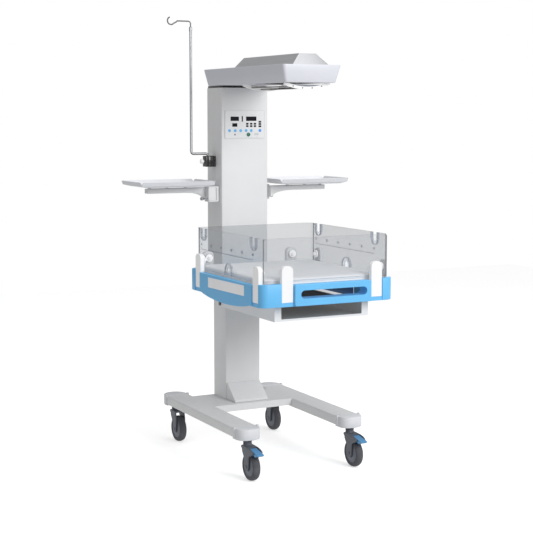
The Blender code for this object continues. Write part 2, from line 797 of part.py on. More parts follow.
def upper_column():
    """The wide rolled tube, stepped in at its foot to sit on the lower one."""
    outer = rounded(around(0, UPPER_WIDTH), (COLUMN_FRONT, COLUMN_BACK), COLUMN_RADIUS, 3)
    inner = rounded(
        around(0, UPPER_WIDTH - 2 * SHEET),
        (COLUMN_FRONT + SHEET, COLUMN_BACK - SHEET),
        COLUMN_RADIUS - SHEET,
        3,
    )
    low = COLUMN_SPLIT + SEAT_GAP
    column = sleeve("upper_column", outer, inner, "Z", low, UPPER_TOP, "warm_white")
    foot_y = (COLUMN_FRONT + SHEET / 2, COLUMN_BACK - SHEET / 2)
    foot_outer = rounded(around(0, UPPER_WIDTH - SHEET), foot_y, COLUMN_RADIUS, 3)
    wall = SHEET + PIN_GAP + SHEET
    foot_inner = rounded(
        around(0, LOWER_WIDTH - 2 * wall),
        (LOWER_FRONT + wall, LOWER_REAR - wall),
        COLUMN_RADIUS - SHEET,
        3,
    )
    foot = sleeve("foot", foot_outer, foot_inner, "Z", low, low + SHEET)
    plug_outer = rounded(
        around(0, LOWER_WIDTH - 2 * (SHEET + PIN_GAP)),
        (LOWER_FRONT + SHEET + PIN_GAP, LOWER_REAR - SHEET - PIN_GAP),
        COLUMN_RADIUS - SHEET,
        3,
    )
    plug = sleeve("plug", plug_outer, foot_inner, "Z", COLUMN_SPLIT - JOINT_COLLAR, low + SHEET / 2)
    return join(column, foot, plug)


def control_panel():
    """The panel plate with a shallow recess for each display."""
    face = COLUMN_FRONT - SEAT_GAP
    outline = rounded(around(0, PANEL_WIDTH), (PANEL_LOW, PANEL_HIGH), PANEL_RADIUS, 4)
    outer = face - PANEL_SHEET
    plate = prism("control_panel", outline, "Y", outer, face, "panel_grey")
    recesses = []
    high = PANEL_HIGH - PANEL_LOW
    for x_share, width_share, z_share, height_share in WINDOW_SHARES:
        x_range = around(PANEL_WIDTH * (x_share - 1 / 2), PANEL_WIDTH * width_share)
        z_range = around(PANEL_LOW + high * z_share, high * height_share)
        window = rounded(x_range, z_range, WINDOW_DEPTH, 2)
        recesses.append(prism("window", window, "Y", outer - PANEL_SHEET, outer + WINDOW_DEPTH))
    return cut(plate, *recesses)


# Hood


def flared(name, low, high, corner, finish=None):
    """A rounded block whose lower and upper outlines differ, each given as width, front, rear, height."""
    rings = []
    for width, front, rear, z in (low, high):
        rings.append([(x, y, z) for x, y in rounded(around(0, width), (front, rear), corner, 4)])
    return loft(name, rings, finish)


def shrunk(level, wall, z):
    """The inner outline of a sheet at one level."""
    width, front, rear, _ = level
    return (width - 2 * wall, front + wall, rear - wall, z)


def hood_swivel():
    """The plug in the column's top, with the spacer that the hood turns on."""
    half_gap = SHEET + PIN_GAP
    corner = COLUMN_RADIUS - SHEET
    plug_y = (COLUMN_FRONT + half_gap, COLUMN_BACK - half_gap)
    plug_outline = rounded(around(0, UPPER_WIDTH - 2 * half_gap), plug_y, corner, 3)
    plug_z = (UPPER_TOP - PLUG_DEPTH, UPPER_TOP + SEAT_GAP * 2)
    plug = prism("hood_swivel", plug_outline, "Z", *plug_z, "caster_grey")
    spacer_y = (COLUMN_FRONT + SPACER_INSET, COLUMN_BACK - SPACER_INSET)
    spacer_outline = rounded(around(0, UPPER_WIDTH - 2 * SPACER_INSET), spacer_y, corner, 3)
    spacer = prism("spacer", spacer_outline, "Z", UPPER_TOP + SEAT_GAP, HOOD_LOW - RUNNING_GAP)
    return join(plug, spacer)


def hood_body():
    """A flared pan with a closed top and the heater's opening below."""
    low = (HOOD_LOW_WIDTH, HOOD_LOW_FRONT, HOOD_LOW_REAR, HOOD_LOW)
    high = (HOOD_HIGH_WIDTH, HOOD_HIGH_FRONT, HOOD_HIGH_REAR, HOOD_HIGH)
    body = flared("hood_body", low, high, HOOD_CORNER, "hood_white")
    soften(body, SHEET, 2)
    inner = flared(
        "inner",
        shrunk(low, SHEET, HOOD_LOW + SHEET),
        shrunk(high, SHEET, HOOD_HIGH - SHEET),
        HOOD_CORNER - SHEET,
    )
    opening = block(
        "opening",
        (-HEAT_HALF_WIDTH, HEAT_HALF_WIDTH),
        (HEAT_FRONT, HEAT_REAR),
        (HOOD_LOW - SHEET, HOOD_LOW + 2 * SHEET),
    )
    return cut(body, inner, opening)


def hood_ridge():
    """The sloping cover that runs along the hood's top."""
    base = HOOD_HIGH + SEAT_GAP
    low = (RIDGE_LOW_WIDTH, RIDGE_LOW_FRONT, RIDGE_LOW_REAR, base)
    high = (RIDGE_HIGH_WIDTH, RIDGE_HIGH_FRONT, RIDGE_HIGH_REAR, RIDGE_HIGH)
    ridge = flared("hood_ridge", low, high, RIDGE_CORNER, "brushed")
    inner = flared(
        "inner",
        shrunk(low, SHEET, base - SHEET),
        shrunk(high, SHEET, RIDGE_HIGH - SHEET),
        RIDGE_CORNER - SHEET,
    )
    return cut(ridge, inner)


def sector(half_chord, rise, band, steps):
    """The outline of a bowed strip: an arc of this chord and rise, and another one a band inside it."""
    radius = (half_chord**2 + rise**2) / (2 * rise)
    spread = math.degrees(math.asin(half_chord / radius))
    centre = (0, rise - radius)
    outer = arc(centre, radius, 90 - spread, 90 + spread, steps)
    inner = arc(centre, radius - band, 90 + spread, 90 - spread, steps)
    return outer + inner, centre, radius, spread


def reflector():
    """The bowed sheet above the heater, resting on the hood's floor."""
    outline = sector(REFLECTOR_HALF_CHORD, REFLECTOR_RISE, REFLECTOR_SHEET, 14)[0]
    base = HOOD_LOW + SHEET + SEAT_GAP - min(z for _, z in outline)
    lifted = [(x, z + base) for x, z in outline]
    return prism("reflector", lifted, "Y", HEAT_FRONT + 2 * SHEET, HEAT_REAR - 2 * SHEET, "steel")


def heater_element():
    """A hairpin rod under the reflector, whose rear ends rest on the hood's floor."""
    z = HOOD_LOW + SHEET + SEAT_GAP + HEATER_RADIUS
    rear = HEAT_REAR + HEATER_HALF_GAP
    front = HEAT_FRONT + HEATER_HALF_GAP
    corners = (
        (-HEATER_HALF_GAP, rear, z),
        (-HEATER_HALF_GAP, front, z),
        (HEATER_HALF_GAP, front, z),
        (HEATER_HALF_GAP, rear, z),
    )
    return rod("heater_element", bent_path(corners, HEATER_HALF_GAP * 4 / 5), HEATER_RADIUS, "heater", 8)


def heater_guard():
    """Two bowed hoops with an end plate each and the wires between them, hung under the hood."""
    outline, centre, radius, spread = sector(GUARD_HALF_CHORD, GUARD_RISE, GUARD_BAND, 12)
    base = HOOD_LOW - SEAT_GAP - SHEET / 4
    low = base - GUARD_DROP
    hung = [(x, min(base, low + GUARD_RISE - z)) for x, z in outline]
    bow = hung[: len(hung) // 2]
    front = HEAT_FRONT - GUARD_PLATE
    rear = HEAT_REAR + GUARD_PLATE
    guard = prism("heater_guard", hung, "Y", front, front + GUARD_DEPTH, "clip_white")
    parts = [prism("hoop", hung, "Y", rear - GUARD_DEPTH, rear)]
    parts.append(prism("plate", bow, "Y", front, front + GUARD_PLATE))
    parts.append(prism("plate", bow, "Y", rear - GUARD_PLATE, rear))
    mid_radius = radius - GUARD_BAND / 2
    wire_y = (front + GUARD_PLATE / 2, rear - GUARD_PLATE / 2)
    for i in range(GUARD_WIRES):
        angle = math.radians(spread * (2 * i / (GUARD_WIRES - 1) - 1) * GUARD_WIRE_SPREAD)
        x = mid_radius * math.sin(angle)
        z = low + radius - mid_radius * math.cos(angle)
        parts.append(cylinder("wire", "Y", (x, z), GUARD_WIRE_RADIUS, *wire_y, None, 6))
    return join(guard, *parts)


# Shelves


def pin_place():
    """Where the left shelf's upright pin stands in the knuckle."""
    return COLUMN_Y - KNUCKLE_OFFSET - PIN_FORWARD


def shelf_mount(name):
    """The plate on the column's left side with two lugs and the upright pin."""
    plate_x = (-COLUMN_SIDE - SEAT_GAP - MOUNT_PLATE, -COLUMN_SIDE - SEAT_GAP)
    y_range = around(COLUMN_Y - KNUCKLE_OFFSET, KNUCKLE_DEPTH)
    lug_out = -SHELF_PIN_X - KNUCKLE_LENGTH / 2
    low = KNUCKLE_LOW - SEAT_GAP
    high = KNUCKLE_HIGH + SEAT_GAP
    mount = block(name, plate_x, y_range, (low - MOUNT_LUG, high + MOUNT_LUG), "warm_white")
    soften(mount, SHEET / 2, 1)
    corner = KNUCKLE_DEPTH / 8
    lug = rounded((lug_out, plate_x[1] - SHEET), y_range, (corner, 0, 0, corner), 4)
    below = prism("lug", lug, "Z", low - MOUNT_LUG, low)
    above = prism("lug", lug, "Z", high, high + MOUNT_LUG)
    pin = cylinder(
        "pin",
        "Z",
        (-SHELF_PIN_X, pin_place()),
        SHELF_PIN_RADIUS,
        KNUCKLE_LOW - MOUNT_LUG,
        KNUCKLE_HIGH + MOUNT_LUG,
        None,
        16,
    )
    return join(mount, below, above, pin)


def knuckle_outline():
    """The arm's root seen from above: square outside, and rounded inside as far as its swing needs."""
    reach = KNUCKLE_LENGTH / 2 - RUNNING_GAP
    front = KNUCKLE_DEPTH / 2 - PIN_FORWARD
    rear = KNUCKLE_DEPTH / 2 + PIN_FORWARD
    back = math.radians(SHELF_SWING[0])
    ahead = min(math.radians(SHELF_SWING[1]), math.asin(front / reach))
    rear_x = (reach + rear * math.sin(back)) / math.cos(back)
    turn = arc((0, 0), reach, -math.degrees(ahead), -SHELF_SWING[0], 7)
    outer = -KNUCKLE_LENGTH / 2
    outline = [(outer, -front), *turn, (rear_x, rear), (outer, rear)]
    return [(x - SHELF_PIN_X, y + pin_place()) for x, y in outline]


def shelf_arm(name):
    """A cast arm whose deep root turns on the pin and whose underside sweeps up to a slim tip."""
    root = SHELF_PIN_X + KNUCKLE_LENGTH / 2
    lift = (KNUCKLE_HIGH - KNUCKLE_LOW) / 8
    sweep = ARM_TIP_LOW - KNUCKLE_LOW - lift
    curve = []
    for i in range(ARC_STEPS + 1):
        turn = math.pi / 2 * i / ARC_STEPS
        out = root + ARM_SWEEP_LENGTH * (1 - math.cos(turn))
        curve.append((-out, KNUCKLE_LOW + lift + sweep * math.sin(turn)))
    inner = -SHELF_PIN_X - KNUCKLE_LENGTH / 4
    outline = [
        (inner, KNUCKLE_LOW + lift),
        *curve,
        (-ARM_TIP_X, ARM_TIP_LOW),
        (-ARM_TIP_X, KNUCKLE_HIGH),
        (inner, KNUCKLE_HIGH),
    ]
    arm = prism(name, outline, "Y", *around(COLUMN_Y, ARM_WIDTH), "warm_white")
    soften(arm, SHEET / 2, 1)
    knuckle = prism("knuckle", knuckle_outline(), "Z", KNUCKLE_LOW, KNUCKLE_HIGH)
    soften(knuckle, SHEET / 2, 1)
    join(arm, knuckle)
    pad_z = (KNUCKLE_HIGH - SHEET, TRAY_BASE - SEAT_GAP)
    pads = [cylinder("pad", "Z", (-x, COLUMN_Y), PAD_RADIUS, *pad_z, None, 12) for x in PAD_XS]
    join(arm, *pads)
    bore = cylinder(
        "bore",
        "Z",
        (-SHELF_PIN_X, pin_place()),
        SHELF_PIN_RADIUS + PIN_GAP,
        KNUCKLE_LOW - SHEET,
        KNUCKLE_HIGH + SHEET,
        None,
        16,
    )
    thread = cylinder(
        "thread",
        "X",
        (pin_place(), KNUCKLE_LOW + LOCK_RISE),
        LOCK_STEM_RADIUS + PIN_GAP,
        -root - SHEET,
        -SHELF_PIN_X,
        None,
        12,
    )
    return cut(arm, bore, thread)


def shelf_tray(name):
    """A pressed tray with a shallow tapered pan and flared walls that stay open at the corners."""
    x_range = (-TRAY_OUTER_X, -TRAY_INNER_X)
    y_range = around(COLUMN_Y, TRAY_DEPTH)

    def ring(inset_x, inset_y, z):
        (x0, x1), (y0, y1) = x_range, y_range
        return [
            (x0 + inset_x, y0 + inset_y, z),
            (x1 - inset_x, y0 + inset_y, z),
            (x1 - inset_x, y1 - inset_y, z),
            (x0 + inset_x, y1 - inset_y, z),
        ]

    def level(inset, thickness, z):
        return ring(inset[0] + thickness, inset[1] + thickness, z)

    pan = (TRAY_PAN_INSET_X, TRAY_PAN_INSET_Y)
    foot = (TRAY_FOOT_INSET, TRAY_FOOT_INSET)
    rim = (0, 0)
    outer = [level(pan, 0, TRAY_BASE), level(foot, 0, TRAY_FOOT), level(rim, 0, TRAY_RIM)]
    tray = loft(name, outer, "cap_white")
    inner = loft(
        "inner",
        [
            level(pan, TRAY_SHEET, TRAY_BASE + TRAY_SHEET),
            level(foot, TRAY_SHEET, TRAY_FOOT + TRAY_SHEET),
            level(rim, TRAY_SHEET, TRAY_RIM + SHEET),
        ],
    )
    cut(tray, inner)
    notches = []
    for x in x_range:
        for y in y_range:
            notches.append(tray_notch(x, y, sum(x_range) / 2))
    return cut(tray, *notches)


def tray_notch(x, y, middle_x):
    """The wedge cut from one corner of the tray's wall, narrower at its foot."""
    outline = ((x - TRAY_NOTCH, y), (x, y - TRAY_NOTCH), (x + TRAY_NOTCH, y), (x, y + TRAY_NOTCH))
    foot = TRAY_FOOT + 2 * TRAY_SHEET
    notch = prism("notch", outline, "Z", foot, TRAY_RIM + SHEET)
    inward_x = -math.copysign(TRAY_FOOT_INSET, x - middle_x)
    inward_y = -math.copysign(TRAY_FOOT_INSET, y - COLUMN_Y)
    for vertex in notch.data.vertices:
        if vertex.co.z < foot + SEAT_GAP:
            corner = Vector((x + inward_x, y + inward_y, vertex.co.z))
            vertex.co = (vertex.co + corner) / 2
    return notch


def shelf_lock(name):
    """The knurled screw that bears on the pin through the arm's root."""
    pin_y = pin_place()
    z = KNUCKLE_LOW + LOCK_RISE
    face = -SHELF_PIN_X - KNUCKLE_LENGTH / 2
    stem = cylinder(
        name,
        "X",
        (pin_y, z),
        LOCK_STEM_RADIUS,
        face - LOCK_STEM_OUT - SHEET,
        -SHELF_PIN_X - SHELF_PIN_RADIUS - RUNNING_GAP,
        "black",
        12,
    )
    knob = cylinder(
        "knob",
        "X",
        (pin_y, z),
        LOCK_KNOB_RADIUS,
        face - LOCK_STEM_OUT - LOCK_KNOB_LENGTH,
        face - LOCK_STEM_OUT,
        None,
        14,
    )
    soften(knob, SHEET / 2, 1)
    return join(stem, knob)


def shelves():
    """The left shelf, and the same pieces turned half way round the column as the right one."""
    for label in ("left", "right"):
        mount = shelf_mount(f"shelf_mount_{label}")
        arm = shelf_arm(f"shelf_arm_{label}")
        tray = shelf_tray(f"shelf_tray_{label}")
        lock = shelf_lock(f"shelf_lock_{label}")
        side = -1
        if label == "right":
            for piece in (mount, arm, tray, lock):
                turn_about_column(piece)
            side = 1
        pin_y = COLUMN_Y + side * (KNUCKLE_OFFSET + PIN_FORWARD)
        on_axis(f"shelf_axis_{label}", (side * SHELF_PIN_X, pin_y, KNUCKLE_LOW), [arm, tray])
        lock_x = side * (SHELF_PIN_X + KNUCKLE_LENGTH / 2)
        on_axis(f"lock_axis_{label}", (lock_x, pin_y, KNUCKLE_LOW + LOCK_RISE), [lock])


# Infusion pole


def iv_clamp():
    """The grooved block on the column's side that holds the pole."""
    inner = -COLUMN_SIDE - SEAT_GAP
    outer = inner - CLAMP_DEPTH
    clamp = block("iv_clamp", (outer, inner), around(CLAMP_Y, CLAMP_WIDTH), (CLAMP_LOW, CLAMP_HIGH), "black")
    soften(clamp, SHEET, 2)
    front = CLAMP_Y - CLAMP_WIDTH / 2
    past = (CLAMP_LOW - SHEET, CLAMP_HIGH + SHEET)
    grooves = []
    for share in GROOVE_SHARES:
        grooves.append(cylinder("groove", "Z", (outer + CLAMP_DEPTH * share, front), SHEET, *past, None, 10))
    seat = cylinder(
        "seat",
        "Z",
        (POLE_ROOT_X, CLAMP_Y),
        POLE_RADIUS + PIN_GAP,
        POLE_SEAT - SEAT_GAP,
        CLAMP_HIGH + SHEET,
        None,
        20,
    )
    thread = cylinder(
        "thread",
        "X",
        (CLAMP_Y, (CLAMP_LOW + CLAMP_HIGH) / 2),
        LOCK_STEM_RADIUS + PIN_GAP,
        outer - SHEET,
        POLE_ROOT_X - POLE_RADIUS,
        None,
        12,
    )
    return cut(clamp, *grooves, seat, thread)


def iv_pole():
    """The bent tube, bored from its top for the hook's rod."""
    corners = (
        (POLE_ROOT_X, CLAMP_Y, POLE_SEAT),
        (POLE_ROOT_X, CLAMP_Y, POLE_ARM_Z),
        (POLE_X, CLAMP_Y, POLE_ARM_Z),
        (POLE_X, CLAMP_Y, POLE_TOP),
    )
    pole = rod("iv_pole", bent_path(corners, POLE_BEND, 5), POLE_RADIUS, "steel", 12)
    bore = cylinder(
        "bore",
        "Z",
        (POLE_X, CLAMP_Y),
        HOOK_RADIUS + PIN_GAP,
        POLE_TOP - SLIDE_DEPTH,
        POLE_TOP + SHEET,
        None,
        12,
    )
    return cut(pole, bore)


def iv_hook():
    """The thin rod that slides in the pole, bent over and curled up into a hook."""
    bend = (POLE_X, HOOK_ARM_Z)
    route = [(POLE_X, POLE_TOP - HOOK_DEPTH), (POLE_X, HOOK_ARM_Z - HOOK_BEND)]
    route += arc((bend[0] - HOOK_BEND, bend[1] - HOOK_BEND), HOOK_BEND, 15, 90, 5)
    curl = (HOOK_CURL_X, HOOK_ARM_Z)
    lead = HOOK_CURL_RADIUS
    drop = arc((curl[0] + lead * 2, curl[1] - lead * 3 / 5), lead * 3 / 5, 90, 150, 3)
    route += drop
    route += arc(curl, HOOK_CURL_RADIUS, -40, -250, 12)
    path = [(x, CLAMP_Y, z) for x, z in route]
    return rod("iv_hook", path, HOOK_RADIUS, "steel", 8)


def iv_knob():
    """The winged screw that grips the pole."""
    z = (CLAMP_LOW + CLAMP_HIGH) / 2
    face = -COLUMN_SIDE - SEAT_GAP - CLAMP_DEPTH
    tip = POLE_ROOT_X - POLE_RADIUS - KNOB_TIP_GAP
    stem = cylinder("iv_knob", "X", (CLAMP_Y, z), LOCK_STEM_RADIUS, face - KNOB_OUT, tip, "clip_white", 12)
    hub = cylinder("hub", "X", (CLAMP_Y, z), KNOB_RADIUS, face - KNOB_OUT, face - KNOB_OUT / 3, None, 16)
    wings = prism(
        "wings",
        rounded(around(face - KNOB_OUT * 2 / 3, KNOB_OUT * 2 / 3), around(z, WING_SPAN), KNOB_OUT / 4, 3),
        "Y",
        *around(CLAMP_Y, WING_THICKNESS),
    )
    return join(stem, hub, wings)


# Bed


def clip_rooms(depth):
    """The places where the clips stand in the bed frame's outer face, as x and y limits cut this deep."""
    half = CLIP_WIDTH / 2 + CLIP_SIDE_GAP
    past = HANDLE_PROUD + SHEET
    rooms = []
    for x in FRONT_CLIP_XS:
        rooms.append(((x - half, x + half), (FRAME_FRONT - past, FRAME_FRONT + depth)))
    for x in REAR_CLIP_XS:
        rooms.append(((x - half, x + half), (FRAME_REAR - depth, FRAME_REAR + past)))
    for y in SIDE_CLIP_YS:
        rooms.append(((-FRAME_HALF_WIDTH - past, -FRAME_HALF_WIDTH + depth), (y - half, y + half)))
        rooms.append(((FRAME_HALF_WIDTH - depth, FRAME_HALF_WIDTH + past), (y - half, y + half)))
    return rooms


def belly_outline():
    """The side view of the bed frame's side: straight above, bowed below."""
    half = CLIP_WIDTH / 2 + CLIP_SIDE_GAP
    front = SIDE_CLIP_YS[0] + half
    rear = SIDE_CLIP_YS[1] - half
    middle = (front + rear) / 2
    run = (rear - front) / 2
    bow = FRAME_LOW + SHEET * 3 - BELLY_LOW
    steps = 14
    points = []
    for i in range(steps + 1):
        t = -1 + 2 * i / steps
        drop = bow * math.sqrt(max(0, 1 - t * t)) ** (3 / 2)
        points.append((middle + run * t, FRAME_LOW + SHEET * 3 - drop))
    return [*points, (rear, FRAME_WALL_TOP), (front, FRAME_WALL_TOP)]


def bed_frame():
    """The blue surround: one ring with a bumper at each corner, bellied sides and a handle slot in front."""
    outline = rounded((-FRAME_HALF_WIDTH, FRAME_HALF_WIDTH), (FRAME_FRONT, FRAME_REAR), FRAME_CORNER, 6)
    inner_x = FRAME_HALF_WIDTH - FRAME_INNER
    inner_y = (FRAME_FRONT + FRAME_INNER, FRAME_REAR - FRAME_INNER)
    opening = rounded((-inner_x, inner_x), inner_y, FRAME_CORNER / 3, 6)
    frame = sleeve("bed_frame", outline, opening, "Z", FRAME_LOW, BUMPER_TOP, "blue")
    soften(frame, SHEET, 2)
    seat_x = FRAME_HALF_WIDTH - DECK_EDGE + RUNNING_GAP
    seat = prism(
        "seat",
        rounded(
            (-seat_x, seat_x),
            (FRAME_FRONT + DECK_EDGE - RUNNING_GAP, FRAME_REAR - DECK_EDGE + RUNNING_GAP),
            FRAME_CORNER / 3,
            3,
        ),
        "Z",
        DECK_SEAT,
        BUMPER_TOP + SHEET,
    )
    cuts = [seat]
    for x_range, y_range in clip_rooms(RECESS_DEPTH):
        cuts.append(block("room", x_range, y_range, (LEDGE_TOP, BUMPER_TOP + SHEET)))
    for x_range, y_range in clip_rooms(CLIP_OUTER):
        cuts.append(block("face", x_range, y_range, (BELLY_LOW, BUMPER_TOP + SHEET)))
    high = (FRAME_WALL_TOP, BUMPER_TOP + SHEET)
    wide = FRAME_HALF_WIDTH + SHEET
    half = CLIP_WIDTH / 2
    cuts.append(block("side_top", (-wide, wide), (SIDE_CLIP_YS[0] + half, SIDE_CLIP_YS[1] - half), high))
    cuts.append(block("front_top", (FRONT_CLIP_XS[0], FRONT_CLIP_XS[1]), (FRAME_FRONT - SHEET, 0), high))
    cuts.append(block("rear_top", (REAR_CLIP_XS[0], REAR_CLIP_XS[1]), (0, FRAME_REAR + SHEET), high))
    cut(frame, *cuts)
    for side in (-1, 1):
        face = side * (FRAME_HALF_WIDTH + BELLY_PROUD)
        skin = prism("skin", belly_outline(), "X", *sorted((face, face - side * SKIN)))
        join(frame, skin)
    handle = prism(
        "handle",
        rounded(HANDLE_X_RANGE, (HANDLE_LOW, HANDLE_TOP), HANDLE_CORNER, 5),
        "Y",
        FRAME_FRONT - HANDLE_PROUD,
        FRAME_FRONT + DECK_EDGE - RUNNING_GAP,
    )
    soften(handle, SHEET, 2)
    join(frame, handle)
    slot = prism(
        "slot",
        rounded(SLOT_X_RANGE, (SLOT_LOW, SLOT_HIGH), (SLOT_HIGH - SLOT_LOW) * 12 / 25, 7),
        "Y",
        FRAME_FRONT - HANDLE_PROUD * 2,
        FRAME_FRONT + FRAME_INNER + SHEET,
    )
    cut(frame, slot)
    pockets = []
    half_pocket = SKIN
    for side in (-1, 1):
        near = side * (FRAME_HALF_WIDTH - RECESS_DEPTH)
        far = side * (FRAME_HALF_WIDTH - half_pocket)
        pockets.append(
            block(
                "pocket",
                tuple(sorted((near, far))),
                (SIDE_CLIP_YS[0] + CLIP_WIDTH, SIDE_CLIP_YS[1] - CLIP_WIDTH),
                (BELLY_LOW - SHEET, FRAME_WALL_TOP - SKIN),
            )
        )
    return cut(frame, *pockets)


def bed_deck():
    """The white tray that the mattress lies in."""
    x = FRAME_HALF_WIDTH - DECK_EDGE
    y_range = (FRAME_FRONT + DECK_EDGE, FRAME_REAR - DECK_EDGE)
    low = DECK_SEAT + SEAT_GAP
    outline = rounded((-x, x), y_range, FRAME_CORNER / 3, 4)
    deck = prism("bed_deck", outline, "Z", low, low + DECK_THICKNESS, "clip_white")
    room_x = (-x + DECK_WALL, x - DECK_WALL)
    room_y = (y_range[0] + DECK_WALL, y_range[1] - DECK_WALL)
    room_z = (low + DECK_WALL, low + DECK_THICKNESS + SHEET)
    room = prism("room", rounded(room_x, room_y, FRAME_CORNER / 4, 4), "Z", *room_z)
    return cut(deck, room)


def mattress():
    """A foam pad: crowned on top, rounded edges, sides drawn in a little between the corners."""
    x = GUARD_X - ACRYLIC / 2 - MATTRESS_GAP
    front = GUARD_FRONT + ACRYLIC / 2 + MATTRESS_END_GAP
    rear = GUARD_REAR - ACRYLIC / 2 - MATTRESS_END_GAP
    low = DECK_SEAT + SEAT_GAP * 2 + DECK_WALL
    height = MATTRESS_TOP - low
    middle = (front + rear) / 2
    half_length = (rear - front) / 2
    edge = rounded((-x, x), (front, rear), MATTRESS_CORNER, 6)
    outline = []
    for (ax, ay), (bx, by) in zip(edge, edge[1:] + edge[:1]):
        count = max(1, round(math.hypot(bx - ax, by - ay) / MATTRESS_STEP))
        outline += [(ax + (bx - ax) * i / count, ay + (by - ay) * i / count) for i in range(count)]

    def drawn(u, v, inset):
        waist_x = MATTRESS_WAIST * max(0, 1 - ((v - middle) / half_length) ** 2)
        waist_y = MATTRESS_WAIST * max(0, 1 - (u / x) ** 2)
        scale_x = (x - inset - waist_x * abs(u) / x) / x
        scale_y = (half_length - inset - waist_y * abs(v - middle) / half_length) / half_length
        return (u * scale_x, middle + (v - middle) * scale_y)

    rings = []
    for height_share, inset_share in MATTRESS_EDGE_SHARES:
        z = low + height * height_share
        rings.append([(*drawn(u, v, inset_share * height / 2), z) for u, v in outline])
    for inset_share in MATTRESS_TOP_SHARES:
        z = low + height + MATTRESS_CROWN * (1 - inset_share**2)
        flat = [drawn(u, v, height / 5) for u, v in outline]
        rings.append([(u * inset_share, middle + (v - middle) * inset_share, z) for u, v in flat])
    return loft("mattress", rings, "mattress")


def side_guard(name):
    """The left clear panel, with two tube notches in its top edge and an arch in its lower edge."""
    x_range = around(-GUARD_X, ACRYLIC)
    y_range = (GUARD_FRONT + ACRYLIC / 2 + RUNNING_GAP, GUARD_REAR - GUARD_BEND - RUNNING_GAP)
    outline = rounded(y_range, (GUARD_LOW, GUARD_TOP), (0, 0, GUARD_CORNER, GUARD_CORNER / 2), 4)
    plate = prism(name, outline, "X", *x_range, "clear")
    past = around(-GUARD_X, ACRYLIC * 3)
    cuts = []
    foot_radius = NOTCH_WIDTH * 9 / 20
    for y in (NOTCH_REAR_Y, NOTCH_FRONT_Y):
        low = GUARD_TOP - NOTCH_DEPTH
        notch_z = (low, GUARD_TOP + ACRYLIC)
        notch = rounded(around(y, NOTCH_WIDTH), notch_z, (foot_radius, foot_radius, 0, 0), 6)
        cuts.append(prism("notch", notch, "X", *past))
    radius = ARCH_WIDTH * 9 / 20
    arch_z = (GUARD_LOW - ACRYLIC, GUARD_LOW + ARCH_HEIGHT)
    arch = rounded(around(ARCH_Y, ARCH_WIDTH), arch_z, (0, 0, radius, radius), 6)
    cuts.append(prism("arch", arch, "X", *past))
    for y in SIDE_CLIP_YS:
        cuts.append(cylinder("hole", "X", (y, CLIP_BOLT_Z), CLIP_BOLT_RADIUS + PIN_GAP, *past, None, 12))
    return cut(plate, *cuts)


def front_guard():
    """The clear panel at the foot end."""
    reach = GUARD_X + ACRYLIC / 2
    outline = rounded((-reach, reach), (GUARD_LOW, GUARD_TOP), (0, 0, GUARD_CORNER, GUARD_CORNER), 4)
    plate = prism("guard_front", outline, "Y", *around(GUARD_FRONT, ACRYLIC), "clear")
    past = around(GUARD_FRONT, ACRYLIC * 3)
    radius = CLIP_BOLT_RADIUS + PIN_GAP
    holes = [cylinder("hole", "Y", (x, CLIP_BOLT_Z), radius, *past, None, 12) for x in FRONT_CLIP_XS]
    return cut(plate, *holes)


def rear_guard():
    """The clear panel at the head end, bent forward at both ends."""
    half = ACRYLIC / 2
    bend = GUARD_BEND
    centre = (GUARD_X - bend, GUARD_REAR - bend)

    def half_path(radius):
        return arc(centre, radius, 0, 90, 8)

    outer = half_path(bend + half)
    inner = half_path(bend - half)
    outline = outer + [(-x, y) for x, y in outer[::-1]] + [(-x, y) for x, y in inner] + inner[::-1]
    plate = prism("guard_rear", outline, "Z", GUARD_LOW, GUARD_TOP, "clear")
    past = around(GUARD_REAR, ACRYLIC * 3)
    radius = CLIP_BOLT_RADIUS + PIN_GAP
    holes = [cylinder("hole", "Y", (x, CLIP_BOLT_Z), radius, *past, None, 12) for x in REAR_CLIP_XS]
    return cut(plate, *holes)


def clip(name, along):
    """A clip on the left panel at one place along it: outer plate, bolt, inner disc and boss."""
    outer_face = -FRAME_HALF_WIDTH + CLIP_OUTER
    panel_outer = -GUARD_X - ACRYLIC / 2 - SEAT_GAP
    panel_inner = -GUARD_X + ACRYLIC / 2 + SEAT_GAP
    face = rounded(around(along, CLIP_WIDTH), (CLIP_LOW, CLIP_TOP), (0, 0, CLIP_ROUND, CLIP_ROUND), 4)
    made = prism(name, face, "X", outer_face, panel_outer, "clip_white")
    soften(made, SHEET / 2, 1)
    hub = (along, CLIP_BOLT_Z)
    disc_end = panel_inner + CLIP_DISC_THICKNESS
    disc = cylinder("disc", "X", hub, CLIP_DISC_RADIUS, panel_inner, disc_end, None, 16)
    bolt = cylinder("bolt", "X", hub, CLIP_BOLT_RADIUS, panel_outer - SHEET, panel_inner + SHEET, None, 10)
    boss_x = (disc_end - SHEET, disc_end + CLIP_BOSS_DEPTH)
    boss = cylinder("boss", "X", hub, CLIP_BOSS_RADIUS, *boss_x, None, 12)
    return join(made, bolt, disc, boss)


def turned_clip(name, along, facing):
    """A clip made for the left side, set on the front or rear side."""
    made = clip(name, along)
    if facing == "right":
        return mirror_x(made)
    if facing == "front":
        turn = Matrix(((0, 1, 0, 0), (1, 0, 0, FRAME_FRONT + FRAME_HALF_WIDTH), (0, 0, 1, 0), (0, 0, 0, 1)))
        made.data.transform(turn)
        made.data.flip_normals()
    if facing == "rear":
        turn = Matrix(((0, 1, 0, 0), (-1, 0, 0, FRAME_REAR - FRAME_HALF_WIDTH), (0, 0, 1, 0), (0, 0, 0, 1)))
        made.data.transform(turn)
    return made


